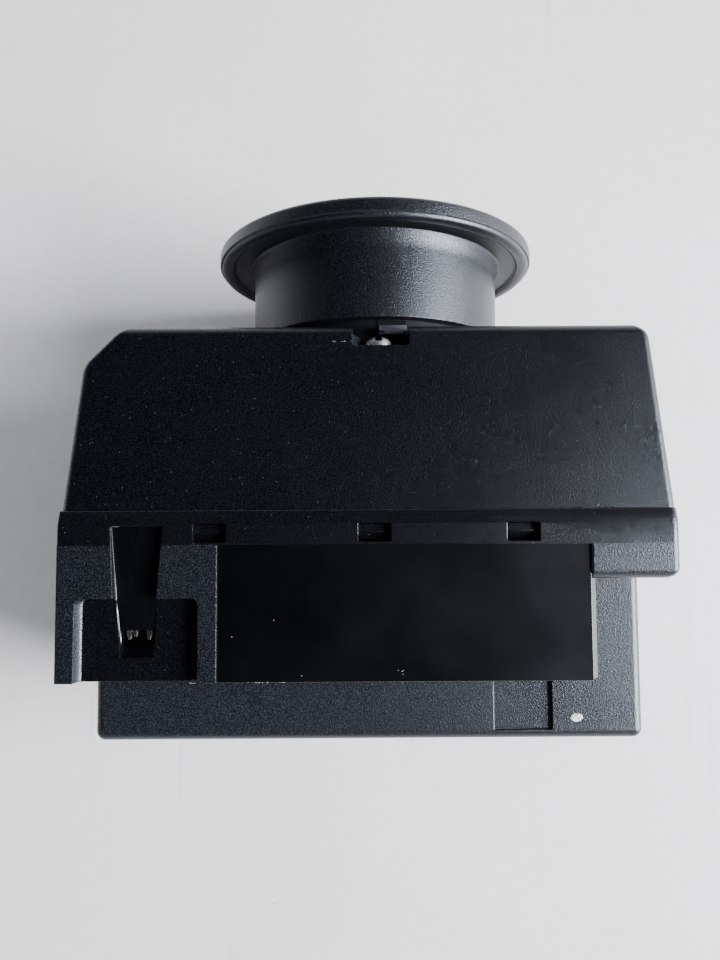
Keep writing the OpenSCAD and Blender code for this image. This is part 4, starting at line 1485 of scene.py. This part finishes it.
@dataclass
class CollarScrews:
    """The two pan-head screws that hold the sleeve in the shell."""

    places: Places
    reach: float = 19.9
    seat_y: float = 16.4
    head_r: float = 2.0
    dome_r: float = 1.85
    head_h: float = 1.6
    shank_r: float = 1.0
    slot: Point2 = (0.9, 0.8)

    def build(self) -> list[bpy.types.Object]:
        """Turns, slots and dresses both screws.

        Returns:
            The finished pieces.
        """
        at = self.places
        screws = [self.screw(f"collar_screw_{i}", (at.axis_x, at.axis_z + s * self.reach)) for i, s in ((1, 1), (2, -1))]
        for i, screw in enumerate(screws):
            finish_piece(screw, ZINC_STEEL, "housing", ["collar_screws"] if i == 0 else [])
        return screws

    def screw(self, name: str, centre: Point2) -> bpy.types.Object:
        """Makes one screw with a thin flange, a domed head and a slot.

        Args:
            name: The piece's name.
            centre: The screw's axis in X and Z.

        Returns:
            The screw.
        """
        y, r, top = self.seat_y, self.head_r, self.seat_y + self.head_h
        profile: list[Point2] = [(0, y - 7.4), (0.45, y - 7.2)]
        thread = y - 6.6
        while thread < y - 0.7:
            profile += [(self.shank_r - 0.2, thread), (self.shank_r - 0.02, thread + 0.28)]
            thread += 0.56
        profile += [(self.shank_r - 0.1, y - 0.02), (r - 0.1, y), (r, y + 0.08), (r, y + 0.26), (r - 0.1, y + 0.34)]
        rise = self.head_h - 0.36
        for k in range(9):
            t = math.pi / 2 * k / 8
            profile.append((self.dome_r * math.cos(t) ** 0.7 if k < 8 else 0, y + 0.36 + rise * math.sin(t)))
        width, depth = self.slot
        low = (centre[0] - width / 2, top - depth, centre[1] - r)
        groove = block("slot", low, (centre[0] + width / 2, top + 0.5, centre[1] + r))
        return even_shading(combine(lathe(name, profile, centre, 64), [groove]))


@dataclass
class Contacts:
    """The tinned pins and blades in both sockets."""

    places: Places
    pitch: float = 2.54
    pin_w: float = 0.64
    blade: Point2 = (2.8, 0.8)
    blade_pitch: float = 5.0

    def build(self) -> list[bpy.types.Object]:
        """Makes and dresses the pins and the blades.

        Returns:
            The finished pieces.
        """
        made: list[bpy.types.Object] = []
        for node, columns in (("small_pins", 5), ("large_pins", 8)):
            low, high = cad_box(node)
            centre, row = (low.x + high.x) / 2, (low.z + high.z) / 2
            spots = [
                (centre + (c - (columns - 1) / 2) * self.pitch, row + s * self.pitch / 2)
                for c in range(columns)
                for s in (-1, 1)
            ]
            pins = self.bars(f"{node}_tinned", spots, (self.pin_w, self.pin_w), low.y, high.y, 0.7, 0.55)
            made.append(finish_piece(pins, TINNED_BRASS, "housing", [node]))
        low, high = cad_box("power_blades")
        spots = [(low.x + 1.4 + i * self.blade_pitch, (low.z + high.z) / 2) for i in range(4)]
        blades = self.bars("power_blades_tinned", spots, self.blade, low.y, high.y, 0.9, 0.45)
        made.append(finish_piece(blades, TINNED_BRASS, "housing", ["power_blades"]))
        return made

    def bars(
        self, name: str, spots: Sequence[Point2], section: Point2, y0: float, y1: float, taper: float, tip: float
    ) -> bpy.types.Object:
        """Makes several bars along Y with tapered tips, in one mesh.

        Args:
            name: The piece's name.
            spots: Each bar's X and Z.
            section: A bar's width and height.
            y0: The tips' place.
            y1: The tails' place.
            taper: The length of the tapered tip.
            tip: The tip's share of the full section.

        Returns:
            The bars.
        """
        points: list[Point3] = []
        faces: list[list[int]] = []
        half_w, half_h = section[0] / 2, section[1] / 2
        edge = min(half_w, half_h) * 0.14
        for x, z in spots:
            start = len(points)
            for y, k in ((y0, tip * 0.8), (y0 + 0.08, tip), (y0 + taper, 1.0), (y1, 1.0)):
                w, h, e = half_w * (k if half_w < 1 else 1 - (1 - k) * 0.4), half_h * k, edge * k
                outline = [(w - e, -h), (w, -h + e), (w, h - e), (w - e, h), (-w + e, h), (-w, h - e), (-w, -h + e), (-w + e, -h)]
                points += [(x + u, y, z + v) for u, v in outline]
            faces += [list(range(start, start + 8)), list(range(start + 24, start + 32))]
            for level in range(3):
                for i in range(8):
                    a, b = start + level * 8 + i, start + level * 8 + (i + 1) % 8
                    faces.append([a, b, b + 8, a + 8])
        return even_shading(mesh_piece(name, points, faces))


@dataclass
class KeyEntry:
    """The rotor with its face, the pusher in the key slot, and the sleeve round them."""

    places: Places

    def build(self) -> list[bpy.types.Object]:
        """Rebuilds the pieces that show in the key's opening, with softened edges.

        Returns:
            The finished pieces.
        """
        rows = [
            ("rotor_face", "rotor_face_plate", 0.18, FACE_PLASTIC, "rotor", "face_black"),
            ("rotor", "rotor_barrel", 0.14, ROTOR_PLASTIC, "rotor", "rotor_black"),
            ("key_pusher", "key_pusher_block", 0.15, PUSHER_PLASTIC, "pusher", "pusher_grey"),
            # The sleeve's near-black finish is painted shade in the gap behind the neck.
            ("lock_sleeve", "lock_sleeve_barrel", 0.14, SHADED_SLEEVE_PLASTIC, "housing", "sleeve_grey"),
        ]
        made = [
            finish_piece(eased_copy(node, name, width), finish, body, [node])
            for node, name, width, finish, body, slot in rows
        ]
        # The tab's outer end is left off, so that the gap behind the neck stays dark.
        at = self.places
        low = (at.axis_x, at.front + 0.75, at.axis_z + 17.82)
        tab_end = block("tab_end", low, (at.axis_x + 4, at.front + 2, at.top - 5))
        combine(made[-1], [tab_end])
        # The tab's faces get a mid-grey finish: painted light where it stands lit in the notch.
        dress_faces(made[-1], LIT_TAB_PLASTIC, self.is_tab)
        return made

    def is_tab(self, middle: Vector, normal: Vector) -> bool:
        """Tells whether a face of the sleeve lies on its locating tab.

        Args:
            middle: The face's middle.
            normal: The face's normal.

        Returns:
            True on the tab's upper and side faces.
        """
        at = self.places
        return middle.y > at.front - 0.6 and middle.z > at.axis_z + 17.9 and normal.y < 0.9


@dataclass
class InnerWorks:
    """The pieces that keep their CAD shape, with their own materials."""

    finishes: dict[str, Finish] = field(
        default_factory=lambda: {
            "rotor_cam": CAM_ZINC,
            "rotor_circlip": SPRING_STEEL,
            "return_spring": SPRING_STEEL,
            "pusher_spring": SPRING_STEEL,
            "plunger_spring": SPRING_STEEL,
            "detent_spring": SPRING_STEEL,
            "antenna_coil": COPPER_WINDING,
            "solenoid_coil": SOLENOID_WINDING,
            "solenoid_frame": ZINC_STEEL,
            "lock_plunger": ZINC_STEEL,
            "detent_plunger": ZINC_STEEL,
            "lock_frame": FRAME_PLASTIC,
            "frame_screws": ZINC_STEEL,
            "board_screws": ZINC_STEEL,
            "position_switch": SWITCH_PLASTIC,
            "switch_plunger": SWITCH_RED,
            "circuit_board": BOARD_MASK,
            "microcontroller": CHIP_EPOXY,
            "driver_transistors": CHIP_EPOXY,
            "ir_emitter": EMITTER_RESIN,
            "relays": RELAY_PLASTIC,
            "capacitors": CAN_FILM,
            "power_inductor": FERRITE,
            "small_header": HEADER_PLASTIC,
            "large_header": HEADER_PLASTIC,
        }
    )

    def build(self) -> None:
        """Dresses each CAD node that stays."""
        for name, finish in self.finishes.items():
            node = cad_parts[name]
            if not node.material_slots:
                node.data.materials.append(None)
            for slot in node.material_slots:
                slot.material = finish.material()
            log.info("%s keeps its CAD shape in %s", name, finish.name)


@dataclass
class PaintDot:
    """The dab of inspection paint on the rear body."""

    places: Places
    seed: int = 5

    def build(self) -> bpy.types.Object:
        """Makes an uneven dab inside the CAD dot's box.

        Returns:
            The finished piece.
        """
        low, high = cad_box("paint_dot")
        centre, rx, ry = (low + high) / 2, (high.x - low.x) / 2, (high.y - low.y) / 2
        draw = random.Random(self.seed)
        wobble = [draw.uniform(0.8, 1.0) for _ in range(28)]
        levels = [(low.z, 1.0), (low.z + 0.035, 0.95), (high.z, 0.72)]
        rings = [
            [
                (centre.x + rx * s * w * math.cos(2 * math.pi * i / 28), centre.y + ry * s * w * math.sin(2 * math.pi * i / 28), z)
                for i, w in enumerate(wobble)
            ]
            for z, s in levels
        ]
        return finish_piece(even_shading(loft("paint_dab", rings)), WHITE_PAINT, "housing", ["paint_dot"])


@dataclass
class EdgeFlash:
    """Nicks and torn flash along a few of the mouldings' edges."""

    places: Places
    seed: int = 11

    def build(self) -> list[bpy.types.Object]:
        """Scatters the nicks and dresses them.

        Returns:
            The finished pieces.
        """
        at = self.places
        draw = random.Random(self.seed)
        made: list[bpy.types.Object] = []
        rows: list[tuple[str, float, float, float, float, float, int, float]] = [
            # name, x0, x1, y, y1, z, count, size
            ("notch_nicks", -4.6, -2.0, at.front - 2.35, at.front - 2.2, 48.18, 14, 0.13),
            ("ramp_nicks", -31.9, -30.6, at.step - 1.98, at.step - 1.9, 50.62, 8, 0.15),
            ("hood_flash", -22.3, -20.9, at.hood + 0.02, at.hood + 0.1, 50.86, 8, 0.16),
            ("plate_nicks", 3.2, 4.2, at.hood + 0.5, at.hood + 1.5, 50.64, 5, 0.14),
            ("rim_nicks", -15.1, -12.5, at.hood + 0.0, at.hood + 0.06, 50.62, 9, 0.15),
            ("rim_nicks_two", -10.9, -10.4, at.hood + 0.0, at.hood + 0.06, 50.62, 3, 0.14),
        ]
        for name, x0, x1, y0, y1, z, count, size in rows:
            spots = [(draw.uniform(x0, x1), draw.uniform(y0, y1), z) for _ in range(count)]
            made.append(finish_piece(self.flakes(name, spots, size, draw), TORN_EDGE, "housing", []))
        return made

    def flakes(self, name: str, spots: Sequence[Point3], size: float, draw: random.Random) -> bpy.types.Object:
        """Makes small irregular flakes in one mesh.

        Args:
            name: The piece's name.
            spots: Each flake's middle.
            size: A flake's mean radius.
            draw: The source of chance.

        Returns:
            The flakes.
        """
        points: list[Point3] = []
        faces: list[list[int]] = []
        for x, y, z in spots:
            start, turn, long = len(points), draw.uniform(0, math.pi), draw.uniform(0.7, 1.9)
            for k in range(6):
                a = math.pi / 3 * k
                u, v = size * long * math.cos(a) * draw.uniform(0.6, 1), size * 0.5 * math.sin(a) * draw.uniform(0.6, 1)
                across = x + u * math.cos(turn) - v * math.sin(turn)
                points.append((across, y + u * math.sin(turn) * 0.3 + v * math.cos(turn) * 0.5, z))
            points += [(x, y, z + size * 0.5), (x, y, z - size * 0.4)]
            for k in range(6):
                m = (k + 1) % 6
                faces += [[start + k, start + m, start + 6], [start + m, start + k, start + 7]]
        return mesh_piece(name, points, faces)


@dataclass
class Studio:
    """The table, the window light and the camera."""

    floor_half: float = 900.0
    camera_at: Point3 = (-1.1, -6.85, 139.9)
    camera_turn: Point3 = (3.6, 0.0, -0.37)
    lens: float = 27.0
    daylight: str = "e6efff"
    wall_glow: float = 2.2
    far_share: float = 0.25
    ceiling_glow: float = 0.004

    def build(self) -> None:
        """Sets up everything that isn't the module."""
        h = self.floor_half
        table = mesh_piece("table_top", [(-h, -h, 0), (h, -h, 0), (h, h, 0), (-h, h, 0)], [[0, 1, 2, 3]])
        table.data.materials.append(TABLE_PAINT.material())
        self.lamp("window", (740, -110, 480), (0, 0, 20), 470, 400, 45.0)
        # Light that comes back from the room above. The maker leans over the module, so it isn't mirrored in it.
        bounce = self.lamp("bounce", (0, 0, 900), (0, 0, 0), 1400, 1400, 7.0)
        bounce.visible_glossy = False
        self.air()
        self.camera()

    def lamp(
        self, name: str, place_mm: Point3, target_mm: Point3, width: float, height: float, watts: float
    ) -> bpy.types.Object:
        """Adds a soft rectangular lamp.

        Args:
            name: The lamp's name.
            place_mm: Where it hangs.
            target_mm: What it faces.
            width: Its width.
            height: Its height.
            watts: Its power.

        Returns:
            The lamp.
        """
        data = bpy.data.lights.new(name, "AREA")
        data.shape = "RECTANGLE"
        data.size, data.size_y = width * MM, height * MM
        data.energy = watts
        data.color = srgb(self.daylight)[:3]
        lamp = bpy.data.objects.new(name, data)
        lamp.location = Vector(place_mm) * MM
        lamp.rotation_euler = (Vector(target_mm) - Vector(place_mm)).to_track_quat("-Z", "Y").to_euler()
        bpy.context.scene.collection.objects.link(lamp)
        return lamp

    def air(self) -> None:
        """Lights the room from its pale walls, under a dark ceiling."""
        world = bpy.data.worlds.new("room")
        world.use_nodes = True
        tree = world.node_tree
        tree.nodes.clear()
        where = add_node(tree, "TexCoord")["Generated"]
        height = add_node(tree, "SeparateXYZ", {0: where})[2]
        side = add_node(tree, "SeparateXYZ", {0: where})[0]
        share = add_node(tree, "MapRange", {0: side, 1: -0.9, 2: 0.5, 3: self.far_share, 4: 1.0})[0]
        fade = {0: height, 1: 0.12, 2: 0.55, 3: self.wall_glow, 4: self.ceiling_glow}
        walls = add_node(tree, "MapRange", fade, interpolation_type="SMOOTHSTEP")[0]
        strength = add_node(tree, "Math", {0: walls, 1: share}, operation="MULTIPLY")[0]
        glow = add_node(tree, "Background", {"Color": srgb(self.daylight), "Strength": strength})[0]
        add_node(tree, "OutputWorld", {"Surface": glow})
        bpy.context.scene.world = world

    def camera(self) -> None:
        """Hangs the camera over the module."""
        data = bpy.data.cameras.new("camera")
        data.lens = self.lens
        data.sensor_width = 36
        data.clip_start = 0.005
        camera = bpy.data.objects.new("camera", data)
        camera.location = Vector(self.camera_at) * MM
        camera.rotation_euler = Euler([math.radians(a) for a in self.camera_turn])
        bpy.context.scene.collection.objects.link(camera)
        bpy.context.scene.camera = camera


def main() -> None:
    logging.basicConfig(level=logging.INFO, format="%(name)s: %(message)s")
    places = Places.from_frame()
    Studio().build()
    for part in (RearHousing, FrontShell, Collar, LabelPlate, CollarScrews, Contacts, KeyEntry, PaintDot, EdgeFlash):
        part(places).build()
        log.info("%s is built", part.__name__)
    InnerWorks().build()


if __name__ == "__main__":
    main()
